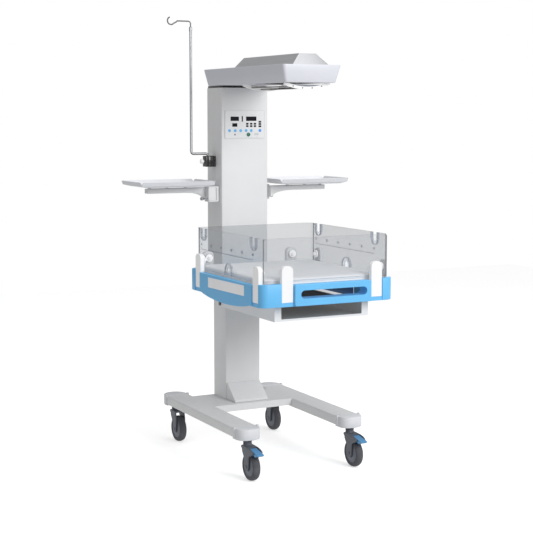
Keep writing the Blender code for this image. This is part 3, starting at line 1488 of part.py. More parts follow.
def guards():
    """The four panels with their clips, each folding one on its hinge line."""
    left = side_guard("guard_left")
    right = mirror_x(side_guard("guard_right"))
    front = front_guard()
    rear_guard()
    ends = ("front", "rear")
    sides = ("left", "right")
    left_clips = [turned_clip(f"clip_left_{label}", y, "left") for label, y in zip(ends, SIDE_CLIP_YS)]
    right_clips = [turned_clip(f"clip_right_{label}", y, "right") for label, y in zip(ends, SIDE_CLIP_YS)]
    front_clips = [turned_clip(f"clip_front_{label}", x, "front") for label, x in zip(sides, FRONT_CLIP_XS)]
    for label, x in zip(sides, REAR_CLIP_XS):
        turned_clip(f"clip_rear_{label}", x, "rear")
    hinge = FRAME_HALF_WIDTH - CLIP_OUTER + HINGE_OUT
    on_axis("guard_left_axis", (-hinge, ARCH_Y, HINGE_Z), [left, *left_clips])
    on_axis("guard_right_axis", (hinge, ARCH_Y, HINGE_Z), [right, *right_clips])
    on_axis("guard_front_axis", (0, FRAME_FRONT + CLIP_OUTER - HINGE_OUT, HINGE_Z), [front, *front_clips])


def storage_box():
    """A folded box under the bed, open in front, with flanges that hang it from the frame."""
    top = FRAME_LOW - SEAT_GAP
    x_range = around(BOX_CENTRE, 2 * BOX_HALF_WIDTH)
    inner_range = around(BOX_CENTRE, 2 * (BOX_HALF_WIDTH - SHEET))
    mouth_range = around(BOX_CENTRE, 2 * (BOX_HALF_WIDTH - BOX_POST))
    mouth_y = (BOX_FRONT - SHEET, BOX_FRONT + 2 * SHEET)
    box = block("storage_box", x_range, (BOX_FRONT, BOX_REAR), (BOX_LOW, top), "warm_white")
    room = block("room", inner_range, (BOX_FRONT + SHEET, BOX_REAR - SHEET), (BOX_LOW + SHEET, top + SHEET))
    mouth = block("mouth", mouth_range, mouth_y, (BOX_LOW + BOX_LIP, top + SHEET))
    cut(box, room, mouth)
    parts = []
    bores = []
    for side, inner_x, outer_x in zip((-1, 1), inner_range, x_range):
        flange_x = tuple(sorted((inner_x, side * FLANGE_HALF_WIDTH)))
        parts.append(block("flange", flange_x, (BOX_FRONT, BOX_REAR), (top - SHEET, top)))
        lug = [
            (BOX_REAR - SHEET, BOX_LOW + SHEET / 4),
            *arc((TILT_Y, TILT_Z), LUG_END - TILT_Y, -60, 80, 6),
            (BOX_REAR - SHEET, top - 2 * SHEET),
        ]
        parts.append(prism("lug", lug, "X", *sorted((inner_x, outer_x))))
        bore_x = sorted((inner_x - side * SHEET, outer_x + side * SHEET))
        bores.append(cylinder("bore", "X", (TILT_Y, TILT_Z), SHAFT_RADIUS + PIN_GAP, *bore_x, None, 20))
    return cut(join(box, *parts), *bores)


def bed_bracket():
    """The plate on the lower column with two cheeks that carry the tilt shaft."""
    face = LOWER_FRONT - SEAT_GAP
    x = BRACKET_HALF_WIDTH
    plate_y = (face - BRACKET_PLATE, face)
    bracket = block("bed_bracket", (-x, x), plate_y, (BRACKET_LOW, BRACKET_HIGH), "warm_white")
    parts = []
    for side in (-1, 1):
        cheek = [
            (face - SHEET, BRACKET_LOW),
            (face - SHEET, CHEEK_HIGH),
            *arc((TILT_Y, TILT_Z), CHEEK_ROUND, 80, 270, 8),
        ]
        near = side * CHEEK_X
        parts.append(prism("cheek", cheek, "X", *sorted((near, near + side * CHEEK))))
    join(bracket, *parts)
    reach = CHEEK_X + 2 * CHEEK
    bore = cylinder("bore", "X", (TILT_Y, TILT_Z), SHAFT_RADIUS + PIN_GAP, -reach, reach, None, 20)
    return cut(bracket, bore)


def tilt_shaft():
    """The shaft that the bed tilts on, headed outside the box's walls."""
    axis = (TILT_Y, TILT_Z)
    left, right = around(BOX_CENTRE, 2 * (BOX_HALF_WIDTH + RUNNING_GAP))
    shaft = cylinder("tilt_shaft", "X", axis, SHAFT_RADIUS, left - SHEET, right + SHEET, "black", 20)
    left_head = cylinder("head", "X", axis, SHAFT_HEAD_RADIUS, left - SHAFT_HEAD, left, None, 20)
    right_head = cylinder("head", "X", axis, SHAFT_HEAD_RADIUS, right, right + SHAFT_HEAD, None, 20)
    return join(shaft, left_head, right_head)


def bed_runners():
    """Two folded runners under the deck, joined by two flat bars that reach the frame."""
    parts = []
    length = (RUNNER_FRONT, RUNNER_REAR)
    for side in (-1, 1):
        inner = side * (RUNNER_X - RUNNER_WIDTH / 2)
        outer = side * (RUNNER_X + RUNNER_WIDTH / 2)
        foot_x = tuple(sorted((inner, outer)))
        parts.append(block("bed_runners", foot_x, length, (RUNNER_LOW, RUNNER_LOW + SHEET), "clip_white"))
        web_x = tuple(sorted((outer, outer - side * SHEET)))
        parts.append(block("web", web_x, length, (RUNNER_LOW, DECK_SEAT)))
    bar_x = FRAME_HALF_WIDTH - FRAME_INNER - SEAT_GAP
    bar_z = (DECK_SEAT - CROSS_THICKNESS, DECK_SEAT)
    for y in (CROSS_FRONT, CROSS_REAR):
        parts.append(block("cross", (-bar_x, bar_x), around(y, CROSS_DEPTH), bar_z))
    return join(*parts)


def clear_scene():
    """Removes the start-up objects."""
    for obj in list(bpy.data.objects):
        bpy.data.objects.remove(obj)


def main():
    clear_scene()
    base_frame()
    for label, side, front in (("fl", -1, True), ("fr", 1, True), ("rl", -1, False), ("rr", 1, False)):
        leg_cap(f"leg_cap_{label}", side, front)
        caster(label, side, front)
    lower_column()
    column_gusset()
    upper_column()
    control_panel()
    hood_swivel()
    hood = [hood_body(), hood_ridge(), reflector(), heater_element(), heater_guard()]
    on_axis("hood_axis", (0, COLUMN_Y, HOOD_LOW), hood)
    shelves()
    iv_clamp()
    pole = iv_pole()
    hook = iv_hook()
    on_axis("pole_axis", (POLE_ROOT_X, CLAMP_Y, POLE_SEAT), [pole])
    on_axis("hook_axis", (POLE_X, CLAMP_Y, POLE_TOP), [hook])
    on_axis("knob_axis", (POLE_ROOT_X, CLAMP_Y, (CLAMP_LOW + CLAMP_HIGH) / 2), [iv_knob()])
    bed_bracket()
    tilt_shaft()
    bed = [bed_frame(), bed_deck(), mattress(), storage_box(), bed_runners()]
    on_axis("tilt_axis", (0, TILT_Y, TILT_Z), bed)
    guards()


main()
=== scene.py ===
"""The looks of an infant radiant warmer: finishes, trim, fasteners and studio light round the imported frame."""

import json
import math

import bmesh
import bpy
from mathutils import Matrix, Vector


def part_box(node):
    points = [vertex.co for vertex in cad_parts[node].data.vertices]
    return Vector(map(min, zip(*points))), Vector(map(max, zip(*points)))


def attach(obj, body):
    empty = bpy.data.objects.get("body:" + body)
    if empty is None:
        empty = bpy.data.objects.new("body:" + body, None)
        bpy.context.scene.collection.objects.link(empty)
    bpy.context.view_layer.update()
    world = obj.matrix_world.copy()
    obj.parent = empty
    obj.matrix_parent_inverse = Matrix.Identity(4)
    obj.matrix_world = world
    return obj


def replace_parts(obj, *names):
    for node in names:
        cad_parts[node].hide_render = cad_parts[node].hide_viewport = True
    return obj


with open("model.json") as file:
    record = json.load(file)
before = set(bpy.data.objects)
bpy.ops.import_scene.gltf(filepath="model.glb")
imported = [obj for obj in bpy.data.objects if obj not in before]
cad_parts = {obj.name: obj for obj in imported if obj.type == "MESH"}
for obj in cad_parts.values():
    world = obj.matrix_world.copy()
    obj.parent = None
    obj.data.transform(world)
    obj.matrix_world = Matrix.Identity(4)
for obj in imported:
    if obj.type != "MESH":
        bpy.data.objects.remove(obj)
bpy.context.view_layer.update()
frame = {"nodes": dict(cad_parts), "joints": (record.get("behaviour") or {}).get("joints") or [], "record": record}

# The photograph's view
CAMERA_PLACE = (-2.7493, -5.3577, 1.5724)
CAMERA_TILT = 83.5278
CAMERA_TURN = -27.0326
CAMERA_LENS = 89.31
CAMERA_SENSOR = 36

MM = 0.001
SMOOTH_ANGLE = math.radians(32)
FINE = 96
CLOSE = 0.4 * MM
WELD = 0.01 * MM


def fill(tree, socket, value):
    """Links a socket, or sets it."""
    if isinstance(value, Shade):
        value = value.socket
    if isinstance(value, bpy.types.NodeSocket):
        tree.links.new(value, socket)
    else:
        socket.default_value = value


def add_node(tree, kind, values, **settings):
    """Adds a node, sets it, then fills its sockets, given in order or by name."""
    made = tree.nodes.new(kind)
    for setting, value in settings.items():
        setattr(made, setting, value)
    for key, value in values.items() if isinstance(values, dict) else enumerate(values):
        fill(tree, made.inputs[key], value)
    return made


class Shade:
    """A shader socket that reads as a number in plain sums."""

    def __init__(self, finish, socket):
        self.finish = finish
        self.socket = socket

    def sum_with(self, operation, first, second=None):
        values = [first] if second is None else [first, second]
        return self.finish.node("Math", values, operation=operation)[0]

    def __add__(self, other):
        return self.sum_with("ADD", self, other)

    def __radd__(self, other):
        return self.sum_with("ADD", other, self)

    def __sub__(self, other):
        return self.sum_with("SUBTRACT", self, other)

    def __rsub__(self, other):
        return self.sum_with("SUBTRACT", other, self)

    def __mul__(self, other):
        return self.sum_with("MULTIPLY", self, other)

    def __rmul__(self, other):
        return self.sum_with("MULTIPLY", other, self)

    def __lt__(self, other):
        return self.sum_with("LESS_THAN", self, other)

    def __abs__(self):
        return self.sum_with("ABSOLUTE", self)

    def sine(self):
        return self.sum_with("SINE", self)

    def least(self, other):
        return self.sum_with("MINIMUM", self, other)

    def most(self, other):
        return self.sum_with("MAXIMUM", self, other)

    def limited(self):
        """Held between 0 and 1."""
        return self.most(0).least(1)

    def ramp(self, low, high):
        """0 below one value, 1 above another, and even between them."""
        return ((self - low) * (1 / (high - low))).limited()


class Finish:
    """One material and the steps that the finishes share."""

    def __init__(self, name, **numbers):
        self.material = bpy.data.materials.new(name)
        self.material.use_nodes = True
        self.tree = self.material.node_tree
        self.shader = self.tree.nodes["Principled BSDF"]
        self.output = self.tree.nodes["Material Output"]
        self.feed(**numbers)

    def node(self, kind, values, **settings):
        """Adds a shader node and returns its outputs."""
        made = add_node(self.tree, f"ShaderNode{kind}", values, **settings)
        return [Shade(self, socket) for socket in made.outputs]

    def feed(self, **values):
        """Sets the shader's sockets, or links what changes over the surface to them."""
        for socket, value in values.items():
            fill(self.tree, self.shader.inputs[socket.replace("_", " ").title()], value)
        return self

    def place(self):
        """The point on the object, in metres."""
        return self.node("TexCoord", [])[3]

    def axes(self):
        return self.node("SeparateXYZ", [self.place()])

    def facing(self):
        """The three parts of the surface's direction."""
        return self.node("SeparateXYZ", [self.node("NewGeometry", [])[1]])

    def stretched(self, scale):
        return self.node("Mapping", {"Vector": self.place(), "Scale": scale})[0]

    def noise(self, scale, detail=2.0, roughness=0.5, stretch=None):
        where = self.stretched(stretch) if stretch else self.place()
        values = {"Vector": where, "Scale": scale, "Detail": detail, "Roughness": roughness}
        return self.node("TexNoise", values)[0]

    def cells(self, scale):
        return self.node("TexVoronoi", {"Vector": self.place(), "Scale": scale})[0]

    def mixed(self, share, low, high):
        """A colour between two."""
        values = {0: share, 6: (*low, 1) if isinstance(low, tuple) else low, 7: (*high, 1)}
        return self.node("Mix", values, data_type="RGBA")[2]

    def bumped(self, height, depth, strength=1.0):
        """Relief of a height in metres."""
        values = {"Height": height, "Distance": depth, "Strength": strength}
        return self.feed(normal=self.node("Bump", values)[0])

    def seen_through(self, share, tint):
        """Mixes the surface, by its share, with what lies behind it, in a tint."""
        behind = self.node("BsdfTransparent", [(*tint, 1)])[0]
        surface = Shade(self, self.shader.outputs[0])
        fill(self.tree, self.output.inputs[0], self.node("MixShader", [share.limited(), behind, surface])[0])
        return self


def darker(colour, share):
    """A colour with less light in it, or more if the share is over 1."""
    return tuple(channel * share for channel in colour)


def painted_glow(strength):
    """A faint white glow: painted light standing in for light bounced onto a white piece that is no lamp; it also
    keeps the floor evenly white.
    """
    return {"emission_color": (1, 1, 1, 1), "emission_strength": strength}


def powder_coat(name, colour, roughness=0.42, **numbers):
    """Baked paint on steel: a fine orange peel, faint clouding and a little dust low down."""
    finish = Finish(name, **numbers)
    cloud = finish.noise(5.0, 3.0)
    peel = finish.noise(950.0, 1.0)
    height = finish.axes()[2]
    dust = (1 - height.ramp(0.16, 0.30)) * finish.noise(60.0, 4.0).ramp(0.45, 0.75) * 0.35
    tone = finish.mixed(cloud.ramp(0.35, 0.65), darker(colour, 0.965), colour)
    finish.feed(base_color=finish.mixed(dust, tone, darker(colour, 0.8)))
    finish.feed(roughness=roughness + (peel - 0.5) * 0.12 + dust * 0.3)
    return finish.bumped(peel, 0.12 * MM, 0.5).material


def moulded(name, colour, roughness=0.45, grain=1600.0, depth=0.08, **numbers):
    """Moulded plastic: a fine spark-eroded grain and slightly uneven gloss."""
    finish = Finish(name, **numbers)
    grain_height = finish.cells(grain)
    cloud = finish.noise(9.0, 3.0)
    finish.feed(base_color=finish.mixed(cloud.ramp(0.3, 0.7), darker(colour, 0.94), colour))
    finish.feed(roughness=roughness + (cloud - 0.5) * 0.16)
    return finish.bumped(grain_height, depth * MM, 0.6).material


def brushed_metal(name, colour, stretch, roughness=0.34, metallic=1.0):
    """Metal drawn through a belt grinder, so that its scratches run one way."""
    finish = Finish(name, metallic=metallic)
    scratch = finish.noise(1.0, 4.0, 0.65, stretch)
    cloud = finish.noise(7.0, 2.0)
    finish.feed(base_color=finish.mixed(scratch.ramp(0.3, 0.7), darker(colour, 0.8), colour))
    finish.feed(roughness=roughness + (scratch - 0.5) * 0.3 + (cloud - 0.5) * 0.08)
    return finish.bumped(scratch, 0.05 * MM, 0.4).material


def polished_metal(name, colour, roughness=0.1):
    """Bright steel with faint smudges."""
    finish = Finish(name, metallic=1.0)
    smudge = finish.noise(30.0, 5.0)
    finish.feed(base_color=finish.mixed(smudge.ramp(0.4, 0.7), darker(colour, 0.9), colour))
    finish.feed(roughness=roughness + smudge.ramp(0.45, 0.75) * 0.14)
    return finish.bumped(finish.noise(240.0, 2.0), 0.02 * MM, 0.3).material


def satin_metal(name, colour, roughness=0.42):
    """Drawn tube: dull enough that a thin bar doesn't sparkle, with a painted dark reflection where it turns away
    from the view and where it faces up or down.
    """
    finish = Finish(name, metallic=0.75)
    cloud = finish.noise(14.0, 3.0)
    # Painted dark reflection: darker towards the outline and on faces that point up or down.
    turned = finish.node("LayerWeight", [0.5])[1].ramp(0.1, 0.4)
    tone = finish.mixed(cloud.ramp(0.35, 0.65), darker(colour, 0.88), colour)
    level = abs(finish.facing()[2]).ramp(0.0, 0.45) * 0.9
    finish.feed(base_color=finish.mixed(turned.most(level), tone, darker(colour, 0.12)))
    return finish.feed(roughness=roughness + (cloud - 0.5) * 0.12).material


def rubber(name, colour, roughness=0.7):
    """Rubber with a fine grit and pale scuffs."""
    finish = Finish(name)
    grit = finish.noise(420.0, 4.0, 0.7)
    scuff = finish.noise(26.0, 4.0).ramp(0.5, 0.75)
    scuffed = tuple(channel * 1.7 + 0.02 for channel in colour)
    finish.feed(base_color=finish.mixed(scuff * 0.5, colour, scuffed))
    finish.feed(roughness=roughness + (grit - 0.5) * 0.2)
    return finish.bumped(grit, 0.15 * MM, 0.5).material


def clear_sheet(name, tint, clearness_and_shade, edge_mask, haze=1.0):
    """Acrylic: clear across its thickness, with its cut edges darkened as painted shade and a few hairline scratches.
    """
    finish = Finish(name)
    edge = edge_mask(finish)
    scratch = finish.noise(1.0, 3.0, 0.6, (30.0, 30.0, 700.0)).ramp(0.62, 0.72)
    # The cut edges are darkened here as painted shade.
    finish.feed(base_color=finish.mixed(edge, tint, darker(tint, 0.26)))
    finish.feed(roughness=0.06 + edge * 0.3 + scratch * 0.12)
    rim = finish.node("LayerWeight", [0.25])[1]
    share = haze * 0.04 + rim * (haze * 0.30) + edge * 0.92 + scratch * 0.03
    return finish.seen_through(share, darker((0.99, 0.995, 1.0), clearness_and_shade)).material


def flat_edges(axis):
    """Marks the edges of a flat sheet that faces along one axis."""
    return lambda finish: 1 - abs(finish.facing()[axis]).ramp(0.5, 0.9)


def bent_edges(ends):
    """Marks the top, the bottom and the two ends of a sheet that bends round at its sides."""

    def mask(finish):
        level = abs(finish.facing()[2]).ramp(0.5, 0.9)
        return level.most(finish.axes()[1] < ends)

    return mask


def soft_gel(name, colour):
    """Clear silicone: faintly milky across its thickness, with a deeper tone in its rims."""
    finish = Finish(name)
    rim = 1 - abs(finish.facing()[0]).ramp(0.5, 0.9)
    cloud = finish.noise(40.0, 3.0)
    finish.feed(base_color=finish.mixed(rim, colour, darker(colour, 0.6)))
    finish.feed(roughness=0.35 + (cloud - 0.5) * 0.2)
    share = 0.22 + rim * 0.22 + (cloud - 0.5) * 0.08
    return finish.seen_through(share, (0.97, 0.98, 1.0)).material


def coated_cloth(name, colour):
    """The mattress cover: wipeable cloth with a tight weave under its coat and a few soft creases, darkened in their
    hollows as painted shade.
    """
    finish = Finish(name, coat_roughness=0.4)
    x, y, _ = finish.axes()
    weave = (x * 5200.0).sine() * (y * 5200.0).sine()
    crease = finish.noise(16.0, 4.0, 0.55)
    # Painted shade: the cloth is darker where the creases sink.
    finish.feed(base_color=finish.mixed(crease.ramp(0.3, 0.7), darker(colour, 0.93), colour))
    finish.feed(roughness=0.52 + (crease - 0.5) * 0.2)
    return finish.bumped(weave * 0.04 + crease, 0.9 * MM, 0.35).material


def lit(name, colour, strength, roughness=0.3):
    """A lamp or a lit key."""
    finish = Finish(name, roughness=roughness, emission_strength=strength)
    glow = finish.noise(120.0, 1.0).ramp(0.2, 0.8)
    tone = finish.mixed(glow, darker(colour, 0.85), colour)
    return finish.feed(base_color=tone, emission_color=tone).material


def smoked_glass(name, colour):
    """A display window: dark under an anti-glare film, with a faint grid behind it."""
    finish = Finish(name, specular_tint=(0.25, 0.25, 0.27, 1))
    x, _, z = finish.axes()
    grid = (x * 2600.0).sine().ramp(0.86, 0.98).most((z * 2600.0).sine().ramp(0.86, 0.98))
    finish.feed(base_color=finish.mixed(grid * 0.3, colour, darker(colour, 2.5)))
    return finish.feed(roughness=0.12 + grid * 0.05).material


# Colours as they look under the photograph's light
WARM_WHITE = (0.79, 0.795, 0.80)
COOL_WHITE = (0.70, 0.71, 0.77)
PURE_WHITE = (0.90, 0.90, 0.91)
# Kept under the clips' real white, to leave room for their painted glow
CLIP_WHITE = (0.76, 0.76, 0.77)
CAP_WHITE = (0.79, 0.80, 0.83)
PALE_PANEL = (0.78, 0.79, 0.80)
PALE_FILM = (0.74, 0.78, 0.80)
LABEL_WHITE = (0.92, 0.92, 0.94)
CLOTH_WHITE = (0.84, 0.85, 0.87)
SEAM_WHITE = (0.80, 0.81, 0.84)
ACRYLIC = (0.78, 0.80, 0.84)
SILICONE = (0.58, 0.64, 0.72)
CERAMIC = (0.72, 0.70, 0.66)
BLUE = (0.145, 0.53, 0.92)
PEDAL_BLUE = (0.08, 0.30, 0.58)
KEY_BLUE = (0.10, 0.43, 0.82)
START_BLUE = (0.06, 0.30, 0.80)
# Painted shade on the runner webs inside the frame
SHADE_NAVY = (0.03, 0.09, 0.22)
SWITCH_NAVY = (0.03, 0.06, 0.12)
BUTTON_GREEN = (0.01, 0.14, 0.08)
RING_GREEN = (0.03, 0.11, 0.08)
SLATE = (0.105, 0.115, 0.14)
TYRE = (0.075, 0.077, 0.088)
HUB = (0.165, 0.175, 0.22)
GREY = (0.33, 0.34, 0.36)
OUTLINE_GREY = (0.50, 0.52, 0.55)
MARK_GREY = (0.30, 0.31, 0.33)
SHADED_PLATE_GREY = (0.24, 0.255, 0.30)
RIDGE_GREY = (0.58, 0.59, 0.61)
STEEL = (0.62, 0.63, 0.65)
DARK_STEEL = (0.24, 0.24, 0.25)
SCREW_STEEL = (0.55, 0.55, 0.56)
MIRROR_STEEL = (0.75, 0.74, 0.72)
HEATER_BROWN = (0.10, 0.08, 0.07)
WIRE_BROWN = (0.16, 0.15, 0.15)
BLACK = (0.018, 0.018, 0.02)
WINDOW_BLACK = (0.006, 0.007, 0.010)
CELL_BLACK = (0.008, 0.009, 0.013)
INK = (0.05, 0.07, 0.12)

# Scratch patterns, as how fine they run along X, Y and Z
EVEN = (900.0, 900.0, 900.0)
ROUGH = (300.0, 300.0, 300.0)
ALONG_BED = (420.0, 5.0, 420.0)
ALONG_WIRE = (300.0, 30.0, 300.0)

paint = powder_coat("warm_powder_coat", WARM_WHITE)
# The storage box glows faintly: painted light inside its shaded hollow.
box_paint = powder_coat("box_powder_coat", WARM_WHITE, 0.42, **painted_glow(0.05))
hood_paint = powder_coat("cool_hood_paint", COOL_WHITE, 0.36)
cap_plastic = moulded("white_cap_plastic", CAP_WHITE, 0.5)
# The runner feet's white glows as painted light, and the navy is painted shade on the runner webs.
runner_white = moulded("runner_white", PURE_WHITE, 0.5, **painted_glow(0.45))
runner_navy = moulded("runner_navy", SHADE_NAVY, 0.5)
# The clips, heater guard, knob and deck glow faintly: painted light that lifts their shaded sides.
clip_plastic = moulded("white_clip_plastic", CLIP_WHITE, 0.42, 2200.0, **painted_glow(0.17))
blue_plastic = moulded("blue_bumper_plastic", BLUE, 0.42, 1400.0, 0.1)
pedal_plastic = moulded("blue_pedal_plastic", PEDAL_BLUE, 0.4)
caster_plastic = moulded("slate_caster_plastic", SLATE, 0.5, 1500.0, 0.1)
hub_plastic = moulded("grey_hub_plastic", HUB, 0.5)
tyre_rubber = rubber("tyre_rubber", TYRE)
black_rubber = rubber("black_rubber", BLACK, 0.6)
black_coat = moulded("black_coated_metal", BLACK, 0.28, 900.0, 0.05, coat_weight=0.3)
grey_plastic = moulded("grey_plastic", GREY, 0.5)
ridge_metal = brushed_metal("brushed_ridge", RIDGE_GREY, ALONG_BED, 0.38, 0.85)
pole_steel = satin_metal("pole_steel", STEEL)
hook_steel = satin_metal("hook_steel", DARK_STEEL)
reflector_steel = polished_metal("reflector_steel", MIRROR_STEEL)
screw_steel = brushed_metal("screw_steel", SCREW_STEEL, EVEN, 0.3)
heater_metal = brushed_metal("heater_sheath", HEATER_BROWN, ROUGH, 0.55, 0.4)
wire_metal = brushed_metal("guard_wire", WIRE_BROWN, ALONG_WIRE, 0.5, 0.6)
guard_grey = moulded("guard_plate_grey", SHADED_PLATE_GREY, 0.45)
ceramic = moulded("ceramic", CERAMIC, 0.7)
# The same acrylic in four sheets: the right and rear ones are made less clear and the left one less hazy, as painted
# shade for how each is seen.
left_acrylic = clear_sheet("left_acrylic", ACRYLIC, 1.0, flat_edges(0), 0.4)
right_acrylic = clear_sheet("right_acrylic", ACRYLIC, 0.84, flat_edges(0))
front_acrylic = clear_sheet("front_acrylic", ACRYLIC, 0.935, flat_edges(1))
rear_acrylic = clear_sheet("rear_acrylic", ACRYLIC, 0.84, bent_edges(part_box("guard_rear")[0][1] + 0.3 * MM))
cover_cloth = coated_cloth("coated_mattress_cloth", CLOTH_WHITE)
piping_cloth = coated_cloth("mattress_piping", SEAM_WHITE)
panel_film = moulded("membrane_film", PALE_PANEL, 0.36, 1800.0, 0.03)
display_glass = smoked_glass("display_glass", WINDOW_BLACK)
cell_glass = smoked_glass("small_lamp", CELL_BLACK)
key_blue = lit("blue_key", KEY_BLUE, 0.05)
key_strong = lit("start_key", START_BLUE, 0.05)
key_green = lit("green_key", BUTTON_GREEN, 0.03)
film_pale = moulded("pale_film", PALE_FILM, 0.4, 1800.0, 0.03)
ring_green = moulded("button_ring_green", RING_GREEN, 0.4)
switch_navy = moulded("small_switch_navy", SWITCH_NAVY, 0.4)
outline_grey = moulded("panel_outline_grey", OUTLINE_GREY, 0.5)
mark_grey = moulded("panel_mark_grey", MARK_GREY, 0.5)
ink = moulded("scale_ink", INK, 0.5, 2000.0, 0.02)
grommet_gel = soft_gel("grommet_gel", SILICONE)
# The side plates' film glows faintly: painted light on the frame's shaded sides.
label_film = moulded("label_film", LABEL_WHITE, 0.4, 1800.0, 0.03, **painted_glow(0.06))


# Pieces and the bodies that carry them

BODY_OF = {node: body for body, nodes in frame["record"]["behaviour"]["bodies"].items() for node in nodes}


def mesh_of(name, bm):
    """Makes a mesh of what was built."""
    mesh = bpy.data.meshes.new(name)
    bm.to_mesh(mesh)
    bm.free()
    return mesh


def linked(name, data):
    """A new object in the scene."""
    made = bpy.data.objects.new(name, data)
    bpy.context.scene.collection.objects.link(made)
    return made


def dress(name, mesh, finish, body, angle=SMOOTH_ANGLE):
    """Makes a mesh an object with this finish, smooth across blunt edges, that rides on a body."""
    mesh.materials.clear()
    mesh.materials.append(finish)
    mesh.shade_smooth()
    mesh.set_sharp_from_angle(angle=angle)
    piece = linked(name, mesh)
    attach(piece, body)
    return piece


def finished(name, bm, finish, body):
    """Welds what was built and dresses it."""
    bmesh.ops.remove_doubles(bm, verts=bm.verts, dist=WELD)
    bmesh.ops.recalc_face_normals(bm, faces=bm.faces)
    return dress(name, mesh_of(name, bm), finish, body)


def node_copy(node):
    """A CAD node's mesh with its split corners merged."""
    bm = bmesh.new()
    bm.from_mesh(frame["nodes"][node].data)
    bmesh.ops.remove_doubles(bm, verts=bm.verts, dist=WELD)
    return bm


def smoothed(node, finish, angle=SMOOTH_ANGLE):
    """A merged copy of a CAD node that shades smoothly, shown in its place."""
    bm = node_copy(node)
    bmesh.ops.dissolve_limit(bm, angle_limit=math.radians(0.5), verts=bm.verts, edges=bm.edges)
    name = f"{node}_skin"
    piece = dress(name, mesh_of(name, bm), finish, BODY_OF[node], angle)
    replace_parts(piece, node)
    return piece


# Outlines and the solids made from them


def point(axis, along, u, v):
    """A point from its height along an axis and its two places across it."""
    if axis == "X":
        return (along, u, v)
    if axis == "Y":
        return (u, along, v)
    return (u, v, along)


def around(middle, width):
    """The two ends of a width round its middle."""
    return (middle - width / 2, middle + width / 2)


def shrunk(ends, inset):
    """Two ends moved towards each other."""
    return (ends[0] + inset, ends[1] - inset)


def span(box, axis, inset=0.0):
    """The two ends of a box along an axis, less an inset at each."""
    return shrunk((box[0][axis], box[1][axis]), inset)


def centre_of(box):
    """The middle of a box."""
    return tuple((low + high) / 2 for low, high in zip(*box))


def arc(centre, radius, start, end, steps):
    """Points on an arc in degrees."""
    angles = [math.radians(start + (end - start) * i / steps) for i in range(steps + 1)]
    return [(centre[0] + radius * math.cos(a), centre[1] + radius * math.sin(a)) for a in angles]


def circle(centre, radius, steps):
    """Points round a circle."""
    return arc(centre, radius, 0, 360, steps)[:-1]


def rounded(u_ends, v_ends, radius, steps=5):
    """A rectangle with round corners."""
    (u0, u1), (v0, v1) = shrunk(u_ends, radius), shrunk(v_ends, radius)
    outline = []
    for i, corner in enumerate(((u0, v0), (u1, v0), (u1, v1), (u0, v1))):
        outline += arc(corner, radius, 180 + 90 * i, 270 + 90 * i, steps)
    return outline


def loft(bm, rows, ring=False):
    """Joins rows of points, with capped ends or from the last row back to the first."""
    rows = [[bm.verts.new(place) for place in row] for row in rows]
    count = len(rows[0])
    for first, second in zip(rows, rows[1:] + rows[:1] if ring else rows[1:]):
        for i in range(count):
            bm.faces.new((first[i], first[(i + 1) % count], second[(i + 1) % count], second[i]))
    if not ring:
        bm.faces.new(rows[0][::-1])
        bm.faces.new(rows[-1])


def tapered(bm, axis, levels):
    """A closed solid through outlines at heights along an axis."""
    loft(bm, [[point(axis, along, u, v) for u, v in outline] for along, outline in levels])


def pill(bm, axis, low, high, u_ends, v_ends, radius, soft):
    """A rounded plate whose far edge is softened."""
    outer = rounded(u_ends, v_ends, radius)
    inner = rounded(shrunk(u_ends, soft), shrunk(v_ends, soft), max(radius - soft, soft / 4))
    step = math.copysign(soft, high - low)
    tapered(bm, axis, [(low, outer), (high - step, outer), (high, inner)])


def lathe(bm, axis, centre, profile, steps=FINE):
    """A closed ring from a closed profile of radius and height along an axis."""
    turns = circle((0, 0), 1, steps)
    rows = [[point(axis, h, centre[0] + r * u, centre[1] + r * v) for r, h in profile] for u, v in turns]
    loft(bm, rows, ring=True)


def collar(bm, axis, centre, inner, outer, low, high, steps):
    """A plain ring between two radii and two heights along an axis."""
    lathe(bm, axis, centre, [(inner, low), (outer, low), (outer, high), (inner, high)], steps)


def dome(bm, axis, centre, base, radius, rise, steps=24, rings=4):
    """A low cap on a face, its height along an axis signed by its rise."""
    sunk, open_share = 0.2, 0.93
    levels = [(base - rise * sunk, radius)]
    for i in range(rings + 1):
        turn = math.pi / 2 * i / rings
        levels.append((base + rise * math.sin(turn), radius * math.cos(turn * open_share)))
    tapered(bm, axis, [(along, circle(centre, r, steps)) for along, r in levels])


def tube(bm, path, radius, sides=12, closed=False):
    """A round bar along points, with capped ends or joined into a ring."""
    path = [Vector(place) for place in path]
    count = len(path)
    rows = []
    side = None
    for i, place in enumerate(path):
        before = path[(i - 1) % count] if closed or i else place
        after = path[(i + 1) % count] if closed or i < count - 1 else place
        along = (after - before).normalized()
        side = along.orthogonal().normalized() if side is None else (side - along * side.dot(along)).normalized()
        up = along.cross(side)
        rows.append([place + side * u + up * v for u, v in circle((0, 0), radius, sides)])
    loft(bm, rows, ring=closed)


def solid(build, *values):
    """What one of these makers builds, on its own."""
    bm = bmesh.new()
    build(bm, *values)
    return bm


def single(name, finish, body, build, *values):
    """A piece that holds one solid."""
    return finished(name, solid(build, *values), finish, body)


# Repeats made with geometry nodes


def node_tree(name, inputs):
    """An empty geometry tree with named inputs."""
    tree = bpy.data.node_groups.new(name, "GeometryNodeTree")
    tree.interface.new_socket("Geometry", in_out="OUTPUT", socket_type="NodeSocketGeometry")
    for socket_name, kind in inputs.items():
        tree.interface.new_socket(socket_name, in_out="INPUT", socket_type=f"NodeSocket{kind}")
    return tree


def coated(tree, placed, given):
    """Ends a tree: its instances are made real and take the finish that it is given."""
    real = add_node(tree, "GeometryNodeRealizeInstances", {"Geometry": placed.outputs[0]})
    coat = add_node(tree, "GeometryNodeSetMaterial", {"Geometry": real.outputs[0], "Material": given["Finish"]})
    add_node(tree, "NodeGroupOutput", {0: coat.outputs[0]})
    return tree


